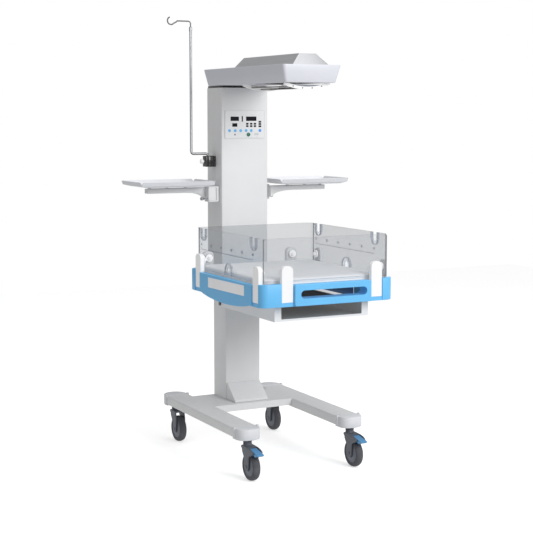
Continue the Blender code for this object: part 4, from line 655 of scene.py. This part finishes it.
def repeat_tree():
    """Sets a shape on each point of a mesh, turned the way that the point's own attribute faces."""
    inputs = {"Geometry": "Geometry", "Shape": "Object", "Size": "Float", "Finish": "Material"}
    tree = node_tree("set_on_points", inputs)
    given = add_node(tree, "NodeGroupInput", {}).outputs
    shape = add_node(tree, "GeometryNodeObjectInfo", {"Object": given["Shape"]})
    facing = add_node(tree, "GeometryNodeInputNamedAttribute", {"Name": "facing"}, data_type="FLOAT_VECTOR")
    turn = add_node(tree, "FunctionNodeAlignRotationToVector", {"Vector": facing.outputs[0]}, axis="Z")
    places = {"Points": given["Geometry"], "Instance": shape.outputs["Geometry"], "Rotation": turn.outputs[0]}
    placed = add_node(tree, "GeometryNodeInstanceOnPoints", {**places, "Scale": given["Size"]})
    return coated(tree, placed, given)


def row_tree():
    """An even row of flat bars, for marks, slots and pins."""
    places = {"Count": "Int", "Start": "Vector", "Step": "Vector"}
    tree = node_tree("bar_row", {"Geometry": "Geometry", **places, "Bar": "Vector", "Finish": "Material"})
    given = add_node(tree, "NodeGroupInput", {}).outputs
    places = {"Count": given["Count"], "Start Location": given["Start"], "Offset": given["Step"]}
    line = add_node(tree, "GeometryNodeMeshLine", places, mode="OFFSET")
    bar = add_node(tree, "GeometryNodeMeshCube", {"Size": given["Bar"]})
    bars = {"Points": line.outputs[0], "Instance": bar.outputs["Mesh"]}
    placed = add_node(tree, "GeometryNodeInstanceOnPoints", bars)
    return coated(tree, placed, given)


SET_ON_POINTS = repeat_tree()
BAR_ROW = row_tree()


def mesh_shown(obj):
    """An object's mesh with its modifiers in it."""
    bpy.context.view_layer.update()
    graph = bpy.context.evaluated_depsgraph_get()
    return bpy.data.meshes.new_from_object(obj.evaluated_get(graph))


def run_tree(name, tree, mesh, values, finish, body):
    """Runs a geometry tree on a mesh and keeps its result as one plain mesh."""
    holder = linked(f"{name}_points", mesh)
    step = holder.modifiers.new("repeat", "NODES")
    step.node_group = tree
    for item in tree.interface.items_tree:
        if item.in_out == "INPUT" and item.name in values:
            step[item.identifier] = values[item.name]
    result = mesh_shown(holder)
    bpy.data.objects.remove(holder)
    result.name = name
    return dress(name, result, finish, body)


def scattered(name, places, shape, finish, body, size=1.0):
    """Sets one shape at each place, given as a point and the way it faces."""
    mesh = bpy.data.meshes.new(name)
    mesh.from_pydata([p for p, _ in places], [], [])
    facing = mesh.attributes.new("facing", "FLOAT_VECTOR", "POINT")
    for i, (_, way) in enumerate(places):
        facing.data[i].vector = way
    return run_tree(name, SET_ON_POINTS, mesh, {"Shape": shape, "Size": size, "Finish": finish}, finish, body)


def bar_row(name, count, start, step, bar, finish, body):
    """An even row of bars, each with its size."""
    values = {"Count": count, "Start": start, "Step": step, "Bar": bar, "Finish": finish}
    return run_tree(name, BAR_ROW, bpy.data.meshes.new(name), values, finish, body)


def shape_object(name, bm):
    """A shape to repeat, kept out of the scene."""
    bmesh.ops.recalc_face_normals(bm, faces=bm.faces)
    return bpy.data.objects.new(name, mesh_of(name, bm))


SCREW_PROFILE = ((1.0, -0.15), (1.0, 0.12), (0.93, 0.34), (0.74, 0.52), (0.5, 0.60), (0.46, 0.58), (0.46, 0.22))
# A domed screw head with a socket in it and a low dome, both of 1 mm radius, standing on z 0
SCREW_LEVELS = [(h * MM, circle((0, 0), r * MM, 24)) for r, h in SCREW_PROFILE]
SCREW = shape_object("screw_head", solid(tapered, "Z", SCREW_LEVELS))
DOME = shape_object("low_dome", solid(dome, "Z", (0, 0), 0, MM, 0.35 * MM, 20))
LEFT, RIGHT, FRONT, BACK = (-1, 0, 0), (1, 0, 0), (0, -1, 0), (0, 1, 0)
SIDES = {"left": -1, "right": 1}
CORNERS = ("fl", "fr", "rl", "rr")
BRAKED = ("fl", "fr")
JOINT_PLACES = {joint["name"]: joint.get("pos_m") for joint in frame["joints"]}
# The way out of the bed at each clip
CLIPS = {
    "left_front": LEFT,
    "left_rear": LEFT,
    "right_front": RIGHT,
    "right_rear": RIGHT,
    "front_left": FRONT,
    "front_right": FRONT,
    "rear_left": BACK,
    "rear_right": BACK,
}


# Bodies and skins


def coat_nodes():
    """Gives each CAD node its finish: a smooth skin where it is curved, its own mesh where it is flat."""
    skins = {
        paint: ["base_frame", "lower_column", "upper_column", "bed_bracket"],
        black_coat: ["hood_swivel", "iv_clamp", "tilt_shaft"],
        hood_paint: ["hood_body"],
        ridge_metal: ["hood_ridge"],
        reflector_steel: ["reflector"],
        heater_metal: ["heater_element"],
        clip_plastic: ["heater_guard", "iv_knob", "bed_deck"] + [f"clip_{label}" for label in CLIPS],
        blue_plastic: ["bed_frame"],
        box_paint: ["storage_box"],
        panel_film: ["control_panel"],
        grey_plastic: [f"shelf_lock_{side}" for side in SIDES],
        cap_plastic: [f"leg_cap_{corner}" for corner in CORNERS],
        caster_plastic: [f"caster_fork_{corner}" for corner in CORNERS],
        pedal_plastic: [f"brake_pedal_{corner}" for corner in BRAKED],
    }
    skins[paint] += [f"shelf_{part}_{side}" for part in ("mount", "arm") for side in SIDES]
    for finish, nodes in skins.items():
        for node in nodes:
            smoothed(node, finish)
    trays = [(f"shelf_tray_{side}", cap_plastic) for side in SIDES]
    for node, finish in [("column_gusset", paint), ("bed_runners", clip_plastic), *trays]:
        for slot in frame["nodes"][node].material_slots:
            slot.material = finish
    sheets = {"left": left_acrylic, "right": right_acrylic, "front": front_acrylic, "rear": rear_acrylic}
    for label, finish in sheets.items():
        smoothed(f"guard_{label}", finish).visible_shadow = False


def wheels():
    """Round tyres with full shoulders, and shallow hubs with a groove round their rim."""
    # Shares of the hub's radius and of the tyre's half width, from the rim to the axle
    dish = (
        (1.0, 0.84),
        (0.96, 0.90),
        (0.90, 0.90),
        (0.87, 0.84),
        (0.83, 0.84),
        (0.80, 0.88),
        (0.40, 0.94),
        (0.22, 0.94),
        (0.095, 0.92),
    )
    for corner in CORNERS:
        tyre_box, hub_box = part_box(f"caster_tyre_{corner}"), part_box(f"caster_hub_{corner}")
        x, *centre = centre_of(tyre_box)
        half = tyre_box[1][0] - x
        radius = tyre_box[1][2] - centre[1]
        rim = hub_box[1][2] - centre[1]
        depth = radius - rim
        shoulder = depth / 2
        turns = [math.pi * i / 14 for i in range(15)]
        crown = [(radius - shoulder + shoulder * math.sin(t), half * math.cos(t)) for t in turns]
        wall = [(rim + CLOSE, half * 0.84), (rim + depth * 0.2, half * 0.94)]
        tread = wall + crown + [(r, -h) for r, h in wall[::-1]]
        face = [(rim * r, half * h) for r, h in dish]
        disc = face + [(r, -h) for r, h in face[::-1]]
        for name, node, profile, finish in (
            ("tyre", "caster_tyre", tread, tyre_rubber),
            ("hub", "caster_hub", disc, hub_plastic),
        ):
            ring = solid(lathe, "X", centre, [(r, x + h) for r, h in profile])
            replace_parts(finished(f"{name}_{corner}", ring, finish, f"wheel_{corner}"), f"{node}_{corner}")


def caster_trim():
    """Dark axle caps on each fork and a rubber ring round its stem."""
    cap_radius = 7.5
    ring_inner, ring_outer, ring_depth = 17.3 * MM, 21 * MM, 8 * MM
    for corner in CORNERS:
        low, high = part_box(f"caster_fork_{corner}")
        _, y, z = centre_of(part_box(f"caster_tyre_{corner}"))
        places = [((low[0] - CLOSE / 4, y, z), LEFT), ((high[0] + CLOSE / 4, y, z), RIGHT)]
        scattered(f"axle_caps_{corner}", places, DOME, caster_plastic, f"caster_{corner}", cap_radius)
        stem = JOINT_PLACES[f"caster_swivel_{corner}"][:2]
        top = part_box(f"leg_cap_{corner}")[0][2]
        ring = solid(collar, "Z", stem, ring_inner, ring_outer, top - ring_depth, top - CLOSE, 48)
        finished(f"stem_ring_{corner}", ring, black_rubber, f"caster_{corner}")


def control_face():
    """The membrane panel: outline, windows, cells, keys, the round button and its square."""
    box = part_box("control_panel")
    low, high = box
    face = low[1]
    width, height = high[0] - low[0], high[2] - low[2]

    def at(x, z):
        """A place on the panel, in millimetres from its lower left corner."""
        return (low[0] + x * MM, low[2] + z * MM)

    def film(bm, place, wide, tall, radius, proud=0.3 * MM):
        """A thin raised patch round a place on the panel."""
        rooted, soft = 0.5 * MM, 0.15 * MM
        pill(bm, "Y", face + rooted, face - proud, around(place[0], wide), around(place[1], tall), radius, soft)

    inset, bend, line = 2.0 * MM, 5 * MM, 0.35 * MM
    rim = [(u, face, v) for u, v in rounded(span(box, 0, inset), span(box, 2, inset), bend)]
    single("panel_outline", outline_grey, "frame", tube, rim, line, 8, True)
    # Each window's middle and size, as shares of the panel
    windows = (
        ("window_left", 0.245, 0.697, 0.209, 0.155),
        ("window_slim", 0.434, 0.693, 0.030, 0.201),
        ("window_right", 0.657, 0.697, 0.261, 0.159),
        ("window_low", 0.246, 0.477, 0.125, 0.125),
    )
    frame_line = 0.6 * MM
    for name, share_x, share_z, wide, tall in windows:
        place = (low[0] + width * share_x, low[2] + height * share_z)
        size = (width * wide - frame_line, height * tall - frame_line)
        single(name, display_glass, "frame", film, place, *size, 0.5 * MM, 0.1 * MM)
    cells = bmesh.new()
    for x in (116.4, 136.8, 156.7):
        for z in (57.3, 68.4):
            film(cells, at(x, z), 12.6 * MM, 8.4 * MM, 1.6 * MM)
    for z in (56.6, 67.2, 77.6):
        film(cells, at(182.8, z), 14.2 * MM, 8.2 * MM, 1.2 * MM)
    finished("panel_cells", cells, cell_glass, "frame")
    key_rise, key_z = 0.6 * MM, 37.0
    keys = bmesh.new()
    for x in (23.9, 53.2, 81.9, 110.1, 136.8):
        dome(keys, "Y", at(x, key_z), face, 7.4 * MM, -key_rise)
    finished("panel_keys", keys, key_blue, "frame")
    single("start_key", key_strong, "frame", dome, "Y", at(182.8, key_z), face, 7.6 * MM, -key_rise)
    single("button_square", film_pale, "frame", film, at(123.5, 17.0), 38.0 * MM, 24.0 * MM, 3.0 * MM)
    button, ring_rise = at(122.1, 18.0), 1.4 * MM
    inner, outer, chamfer = 8.4 * MM, 9.6 * MM, 0.2 * MM
    profile = [(inner, face), (outer, face), (outer - chamfer, face - ring_rise), (inner + chamfer, face - ring_rise)]
    single("button_ring", ring_green, "frame", lathe, "Y", button, profile, 40)
    single("round_button", key_green, "frame", dome, "Y", button, face - 0.2 * MM, inner, -1.6 * MM)
    single("small_switch", switch_navy, "frame", film, at(52.1, 18.0), 7.0 * MM, 7.0 * MM, 2.0 * MM, 0.6 * MM)
    pitch, wide, proud = 4.4 * MM, 3.2 * MM, 0.3 * MM
    rows = ((5, at(164.5, 21.5), 2.6 * MM), (5, at(164.5, 16.5), 2.6 * MM), (3, at(166.5, 6.5), 1.2 * MM))
    for row, (count, place, tall) in enumerate(rows):
        start = (place[0] - pitch * (count - 1) / 2, face, place[1])
        bar_row(f"panel_marks_{row}", count, start, (pitch, 0, 0), (wide, proud, tall), mark_grey, "frame")


def mattress_pad():
    """The foam pad: a soft simulated body with a piped seam round its top and bottom edges."""
    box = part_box("mattress")
    pad = linked("mattress_pad", mesh_of("mattress_pad", node_copy("mattress")))
    swell(pad)
    pad.data.materials.clear()
    pad.data.materials.append(cover_cloth)
    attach(pad, "bed")
    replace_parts(pad, "mattress")
    inset, bend, piping, crown = 1.2 * MM, 35 * MM, 1.5 * MM, 4 * MM
    low, top = box[0][2], box[1][2] - crown
    seam = bmesh.new()
    for share in (0.16, 0.84):
        outline = rounded(span(box, 0, inset), span(box, 1, inset), bend, 10)
        tube(seam, [(u, v, low + (top - low) * share) for u, v in outline], piping, 8, True)
    finished("mattress_piping", seam, piping_cloth, "bed")


def swell(pad):
    """Blows the pad up a little in a cloth simulation, as foam fills its cover, and holds it in its space."""
    most, frames = 3.0 * MM, 20
    step = pad.modifiers.new("voxels", "REMESH")
    step.mode = "VOXEL"
    step.voxel_size = 6 * MM
    keep_result(pad)
    start = [vertex.co.copy() for vertex in pad.data.vertices]
    cloth = pad.modifiers.new("cloth", "CLOTH")
    cloth.settings.use_pressure = True
    cloth.settings.uniform_pressure_force = 4
    cloth.settings.effector_weights.gravity = 0
    cloth.settings.quality = 4
    cloth.point_cache.frame_start = 1
    cloth.point_cache.frame_end = frames
    for step_frame in range(1, frames + 1):
        bpy.context.scene.frame_set(step_frame)
    keep_result(pad)
    bpy.context.scene.frame_set(1)
    for vertex, was in zip(pad.data.vertices, start):
        moved = vertex.co - was
        if moved.length > most:
            vertex.co = was + moved.normalized() * most
    pad.data.shade_smooth()


def keep_result(obj):
    """Turns an object's modifiers into its mesh."""
    mesh = mesh_shown(obj)
    obj.modifiers.clear()
    obj.data = mesh


def notch_grommets():
    """Clear soft sleeves in the tube notches and the lead arches of the side panels."""
    proud = 1.2 * MM
    notch_places, arch_place = (0.073, -0.433), -0.190
    notch_sizes = ((15.5 * MM, 42 * MM), (33 * MM, 57 * MM))
    arch_sizes = ((18 * MM, 36 * MM), (40 * MM, 54.5 * MM))
    for side in SIDES:
        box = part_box(f"guard_{side}")
        faces = span(box, 0, -proud)
        bm = bmesh.new()
        for y in notch_places:
            sleeve(bm, faces, y, box[1][2], -1, *notch_sizes)
        sleeve(bm, faces, arch_place, box[0][2], 1, *arch_sizes)
        piece = finished(f"tube_sleeves_{side}", bm, grommet_gel, f"panel_{side}")
        piece.visible_shadow = False


def sleeve(bm, faces, y, edge, up, inner, outer):
    """A flat arch through a panel, from its edge, between an inner and an outer half width and reach."""
    lines = []
    for half, reach in (inner, outer):
        bend = arc((y, edge + up * (reach - half)), half, 180, 180 - up * 180, 16)
        lines.append([(y - half, edge)] + bend + [(y + half, edge)])
    x0, x1 = faces
    rows = [[(x0, *a), (x1, *a), (x1, *b), (x0, *b)] for a, b in zip(*lines)]
    loft(bm, rows)


def length_scales():
    """A printed length scale with tens on each side panel, to be read from the left."""
    first, last, z = 0.092, -0.430, 0.975
    tens, ones = 6, 10
    thick, proud = 0.2 * MM, 0.15 * MM
    line_width, text_size, text_rise = 1.3 * MM, 15 * MM, 18 * MM
    pitch = (last - first) / (tens - 1)
    marks = (
        ("tens", tens, first, pitch, 1.1 * MM, 9 * MM),
        ("ones", (tens - 1) * ones, first + pitch / ones, pitch / ones, 0.5 * MM, 5 * MM),
    )
    for side in SIDES:
        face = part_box(f"guard_{side}")[0][0] - proud
        body = f"panel_{side}"
        line = (thick, abs(last - first), line_width)
        bar_row(f"scale_line_{side}", 1, (face, (first + last) / 2, z), (0, 0, 0), line, ink, body)
        for name, count, start, step, wide, tall in marks:
            place = (face, start, z + tall / 2)
            bar_row(f"scale_{name}_{side}", count, place, (0, step, 0), (thick, wide, tall), ink, body)
        numbers = bmesh.new()
        for i in range(tens):
            add_text(numbers, str(10 * (i + 1)), text_size, Vector((face, first + pitch * i, z + text_rise)))
        finished(f"scale_numbers_{side}", numbers, ink, body)


def add_text(bm, words, size, place):
    """Flat text that faces left, centred on a place."""
    curve = bpy.data.curves.new("words", "FONT")
    curve.body = words
    curve.size = size
    curve.align_x = "CENTER"
    curve.extrude = 0.1 * MM
    curve.offset = 0.25 * MM
    holder = linked("words", curve)
    mesh = mesh_shown(holder)
    turn = Matrix(((0, 0, -1), (-1, 0, 0), (0, 1, 0))).to_4x4()
    mesh.transform(Matrix.Translation(place) @ turn)
    bm.from_mesh(mesh)
    bpy.data.objects.remove(holder)
    bpy.data.meshes.remove(mesh)


def clip_screws():
    """A domed screw in each clip's inner boss."""
    boss_rise, screw_radius = 42 * MM, 6.0
    groups = {}
    for label, out in CLIPS.items():
        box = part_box(f"clip_{label}")
        place = list(centre_of(box))
        place[2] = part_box("guard_left")[0][2] + boss_rise
        axis = 0 if out[0] else 1
        place[axis] = box[1][axis] if out[axis] < 0 else box[0][axis]
        inward = tuple(-part for part in out)
        groups.setdefault(BODY_OF[f"clip_{label}"], []).append((tuple(place), inward))
    for body, places in groups.items():
        scattered(f"clip_screws_{body}", places, SCREW, clip_plastic, body, screw_radius)


def hood_trim():
    """The guard's dark wires with their ends, a grey plate in each of its hoops, darkened partly as painted shade of
    the hood's inside, and the heater's holders.
    """
    low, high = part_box("heater_guard")
    rise, half, band = 22.2 * MM, high[0], 13 * MM
    radius = (half**2 + rise**2) / (2 * rise)
    centre_z = low[2] + radius
    wires_from, wire_radius, wire_end = 10.2 * MM, 2.3 * MM, 3.2
    wire_bow = radius - band / 2
    spread = math.asin(half / radius) * 0.62
    count = 4
    ends = []
    wires = bmesh.new()
    for i in range(count):
        angle = spread * (2 * i / (count - 1) - 1)
        x, z = wire_bow * math.sin(angle), centre_z - wire_bow * math.cos(angle)
        tube(wires, [(x, low[1] + wires_from, z), (x, high[1] - wires_from, z)], wire_radius, 10)
        ends += [((x, low[1], z), FRONT), ((x, high[1], z), BACK)]
    finished("guard_wires", wires, wire_metal, "hood")
    scattered("guard_wire_ends", ends, DOME, wire_metal, "hood", wire_end)
    inner = radius - band
    reach = math.acos((radius - rise + 1 * MM) / inner)
    bow = [(inner * math.sin(a), centre_z - inner * math.cos(a)) for a in (reach * (i / 12 - 1) for i in range(25))]
    proud, sunk = 0.3 * MM, 0.6 * MM
    # The plates close the guard's hoops; their dark grey is partly painted shade of the hood's inside.
    plates = bmesh.new()
    tapered(plates, "Y", [(low[1] - proud, bow), (low[1] + sunk, bow)])
    tapered(plates, "Y", [(high[1] - sunk, bow), (high[1] + proud, bow)])
    finished("guard_plates", plates, guard_grey, "hood")
    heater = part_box("heater_element")
    rod, holder = 4.7 * MM, 8 * MM
    leg_inset, near, far = 4.5 * MM, 12 * MM, 30 * MM
    for side, sign in SIDES.items():
        centre = (sign * (heater[1][0] - leg_inset), centre_of(heater)[2])
        ring = solid(collar, "Y", centre, rod, holder, heater[1][1] - far, heater[1][1] - near, 32)
        finished(f"heater_holder_{side}", ring, ceramic, "hood")


def column_trim():
    """The rear cover with its vents, whose slots are black bars of painted shade, the power inlet, the joint gasket
    and the fixing screws.
    """
    low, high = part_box("upper_column")
    cover_low, cover_high = low[2] + 90 * MM, high[2] - 60 * MM
    face, depth, half = high[1], 9 * MM, 100 * MM
    cover = solid(pill, "Y", face + CLOSE, face + depth, (-half, half), (cover_low, cover_high), 8 * MM, 2 * MM)
    finished("rear_cover", cover, paint, "frame")
    pitch, lip_rise = 16 * MM, 3.2 * MM
    slot, lip = (120 * MM, 1.0 * MM, 5 * MM), (126 * MM, 3.0 * MM, 1.6 * MM)
    for i, z in enumerate((cover_high - 200 * MM, cover_low + 80 * MM)):
        step = (0, 0, pitch)
        # Each slot is a black bar: painted shade for the dark inside of the vent.
        bar_row(f"vent_slots_{i}", 8, (0, face + depth, z), step, slot, black_rubber, "frame")
        bar_row(f"vent_lips_{i}", 8, (0, face + depth, z + lip_rise), step, lip, paint, "frame")
    screw_x, screw_z = 90 * MM, 12 * MM
    levels = (cover_low + screw_z, (cover_low + cover_high) / 2, cover_high - screw_z)
    places = [((x, face + depth, z), BACK) for x in (-screw_x, screw_x) for z in levels]
    scattered("rear_cover_screws", places, SCREW, screw_steel, "frame", 3.4)
    power_inlet(face, low[2] + 45 * MM)
    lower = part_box("lower_column")
    proud, seal = 0.8 * MM, 1.2 * MM
    outline = rounded(span(lower, 0, -proud), span(lower, 1, -proud), 6 * MM)
    gasket = solid(tube, [(u, v, lower[1][2] - 1.5 * MM) for u, v in outline], seal, 8, True)
    finished("column_gasket", gasket, black_rubber, "frame")


def power_inlet(face, z):
    """A mains inlet on the column's back: its plate, its shroud and three pins."""
    plate, back, mouth = 4 * MM, 5 * MM, 9 * MM
    base = solid(pill, "Y", face + CLOSE, face + plate, around(0, 68 * MM), around(z, 36 * MM), 4 * MM, 1 * MM)
    finished("power_inlet_plate", base, black_coat, "frame")
    outer = rounded(around(0, 30 * MM), around(z, 24 * MM), 4 * MM)
    inner = rounded(around(0, 25 * MM), around(z, 19 * MM), 3 * MM)
    rooted = plate - 1 * MM
    levels = [(face + rooted, outer), (face + mouth, outer), (face + mouth, inner), (face + back, inner)]
    single("power_inlet_shroud", black_coat, "frame", tapered, "Y", levels)
    pitch, pin = 7 * MM, (1.8 * MM, 6 * MM, 5 * MM)
    bar_row("power_inlet_pins", 3, (-pitch, face + 7 * MM, z), (pitch, 0, 0), pin, screw_steel, "frame")


def base_trim():
    """Bolts on the bed's bracket."""
    low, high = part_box("bed_bracket")
    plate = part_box("lower_column")[0][1] - 8.3 * MM
    bolt_x, inset, bolt_radius = 55 * MM, 16 * MM, 5.0
    levels = (low[2] + inset, high[2] - inset)
    places = [((x, plate, z), FRONT) for x in (-bolt_x, 0.0, bolt_x) for z in levels]
    scattered("bracket_bolts", places, SCREW, screw_steel, "frame", bolt_radius)


def shelf_trim():
    """A rolled bead round each tray's rim, and knurling and a collar on the lock knobs."""
    inset, bead_radius, notch, steps = 1.6 * MM, 1.5 * MM, 15 * MM, 6
    ridges, ridge_high, ridge_low = 28, 8.0 * MM, 7.4 * MM
    knurl_from, knurl_to = 1.5 * MM, 11.0 * MM
    collar_from, collar_to, screw, collar_radius = 13.5 * MM, 17 * MM, 2.6 * MM, 5.5 * MM
    for side, sign in SIDES.items():
        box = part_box(f"shelf_tray_{side}")
        (x0, x1), (y0, y1) = span(box, 0, inset), span(box, 1, inset)
        z = box[1][2] - CLOSE
        bead = bmesh.new()
        corners = [Vector((x, y, z)) for x, y in ((x0, y0), (x1, y0), (x1, y1), (x0, y1))]
        for start, end in zip(corners, corners[1:] + corners[:1]):
            cut = (end - start).normalized() * notch
            start, end = start + cut, end - cut
            tube(bead, [start.lerp(end, k / steps) for k in range(steps + 1)], bead_radius, 8)
        finished(f"tray_bead_{side}", bead, cap_plastic, f"shelf_{side}")
        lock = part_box(f"shelf_lock_{side}")
        centre = centre_of(lock)[1:]
        outer = lock[0][0] if sign < 0 else lock[1][0]
        high_line, low_line = circle(centre, ridge_high, ridges * 2), circle(centre, ridge_low, ridges * 2)
        profile = [high_line[k] if k % 2 else low_line[k] for k in range(ridges * 2)]
        knurl = solid(tapered, "X", [(outer - sign * knurl_from, profile), (outer - sign * knurl_to, profile)])
        finished(f"lock_knurl_{side}", knurl, grey_plastic, f"lock_{side}")
        ends = (outer - sign * collar_from, outer - sign * collar_to)
        ring = solid(collar, "X", centre, screw, collar_radius, *ends, 32)
        finished(f"lock_collar_{side}", ring, black_rubber, f"lock_{side}")


def pole_pieces():
    """A smooth bent pole and hook rod in place of the faceted ones, the pole's collar and the clamp's ring."""
    for node, finish in (("iv_pole", pole_steel), ("iv_hook", hook_steel)):
        smoothed(node, finish, math.radians(50))
    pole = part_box("iv_pole")
    x, y = pole[0][0] + 5.75 * MM, centre_of(pole)[1]
    outline = ((6.0, -0.4), (6.0, -16), (7.0, -16), (7.0, 1), (5.6, 3), (3.6, 3))
    ring = solid(lathe, "Z", (x, y), [(r * MM, pole[1][2] + up * MM) for r, up in outline], 40)
    finished("pole_collar", ring, pole_steel, "pole")
    stem_x = -0.152
    inner, outer, chamfer = 6.3 * MM, 9.0 * MM, 0.6 * MM
    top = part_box("iv_clamp")[1][2]
    low, high = top + CLOSE, top + 2.5 * MM
    profile = [(inner, low), (outer, low), (outer - chamfer, high), (inner, high)]
    single("clamp_ring", screw_steel, "frame", lathe, "Z", (stem_x, y), profile, 40)


def bed_trim():
    """The bare plates on the blue frame's sides, which slope a little towards the front."""
    ends, levels = (-0.397, -0.034), (0.8185, 0.8630)
    slope, middle = 0.012, -0.215
    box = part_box("bed_frame")
    outline = [(y, z - slope * (y - middle)) for y, z in rounded(ends, levels, 3 * MM)]
    sunk, proud = 0.4 * MM, 0.6 * MM
    for side, sign in SIDES.items():
        face = box[0][0] if sign < 0 else box[1][0]
        plate = solid(tapered, "X", [(face - sign * sunk, outline), (face + sign * proud, outline)])
        finished(f"side_plate_{side}", plate, label_film, "bed")


def runner_facings():
    """The white feet of the runners under the deck, glowing as painted light, and dark navy sheets on their webs as
    painted shade.
    """
    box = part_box("bed_runners")
    y_ends = span(box, 1, 1 * MM)
    foot_ends, web = (0.1225, 0.1575), (0.1577, 0.1586)
    foot_low, foot_high = box[0][2] + 2.4 * MM, box[0][2] + 3.1 * MM
    web_ends = (box[0][2] + 3.4 * MM, box[1][2] - 6 * MM)
    feet, shade_sheets = bmesh.new(), bmesh.new()
    for sign in SIDES.values():
        x_ends = sorted(sign * x for x in foot_ends)
        pill(feet, "Z", foot_low, foot_high, x_ends, y_ends, 1 * MM, 0.2 * MM)
        # Navy sheets on the webs: painted shade inside the frame.
        pill(shade_sheets, "X", sign * web[0], sign * web[1], y_ends, web_ends, 1 * MM, 0.2 * MM)
    finished("runner_feet", feet, runner_white, "bed")
    finished("runner_liners", shade_sheets, runner_navy, "bed")


def box_top_mat():
    """A dark rubber sheet on the top of the storage box: painted shade seen through the handle slot."""
    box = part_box("storage_box")
    edge, top = 4 * MM, box[1][2]
    levels = (top - 0.2 * MM, top + 0.8 * MM)
    shade_sheet = solid(pill, "Z", *levels, span(box, 0, edge), span(box, 1, edge), 3 * MM, 0.3 * MM)
    finished("box_top_mat", shade_sheet, black_rubber, "bed")


def studio():
    """A pale floor, soft light and the photograph's camera."""
    reach, world_light = 6.0, 0.48
    bm = bmesh.new()
    bm.faces.new([bm.verts.new((x * reach, y * reach, 0)) for x, y in ((-1, -1), (1, -1), (1, 1), (-1, 1))])
    floor = linked("floor", mesh_of("floor", bm))
    finish = Finish("pale_floor", roughness=0.9, **painted_glow(0.5))
    finish.feed(base_color=finish.mixed(finish.noise(2.0).ramp(0.3, 0.7), (0.90, 0.90, 0.90), (0.92, 0.92, 0.92)))
    floor.data.materials.append(finish.material)
    floor.visible_diffuse = False
    world = bpy.data.worlds.new("studio")
    world.use_nodes = True
    tree = world.node_tree
    seen = add_node(tree, "ShaderNodeLightPath", {}).outputs["Is Camera Ray"]
    light = add_node(tree, "ShaderNodeMapRange", {"Value": seen, "To Min": world_light, "To Max": 1.0})
    for socket, value in zip(tree.nodes["Background"].inputs, ((1, 1, 1, 1), light.outputs[0])):
        fill(tree, socket, value)
    bpy.context.scene.world = world
    for name, place, target, size, power in (
        ("key", (1.6, -5.0, 3.0), (0, 0, 1.0), 2.5, 185),
        ("top", (0.3, -0.5, 4.6), (0, 0, 0.5), 3.0, 40),
    ):
        lamp = bpy.data.lights.new(name, "AREA")
        lamp.size = size
        lamp.energy = power
        holder = linked(name, lamp)
        holder.location = place
        holder.rotation_euler = (Vector(target) - Vector(place)).to_track_quat("-Z", "Y").to_euler()
    camera = bpy.data.cameras.new("camera")
    camera.lens = CAMERA_LENS
    camera.sensor_width = CAMERA_SENSOR
    holder = linked("camera", camera)
    holder.location = CAMERA_PLACE
    holder.rotation_euler = (math.radians(CAMERA_TILT), 0, math.radians(CAMERA_TURN))
    bpy.context.scene.camera = holder
    bpy.context.scene.view_settings.view_transform = "Standard"


coat_nodes()
wheels()
caster_trim()
control_face()
mattress_pad()
notch_grommets()
length_scales()
clip_screws()
hood_trim()
column_trim()
base_trim()
shelf_trim()
pole_pieces()
bed_trim()
runner_facings()
box_top_mat()
studio()
for shape in (SCREW, DOME):
    bpy.data.objects.remove(shape)
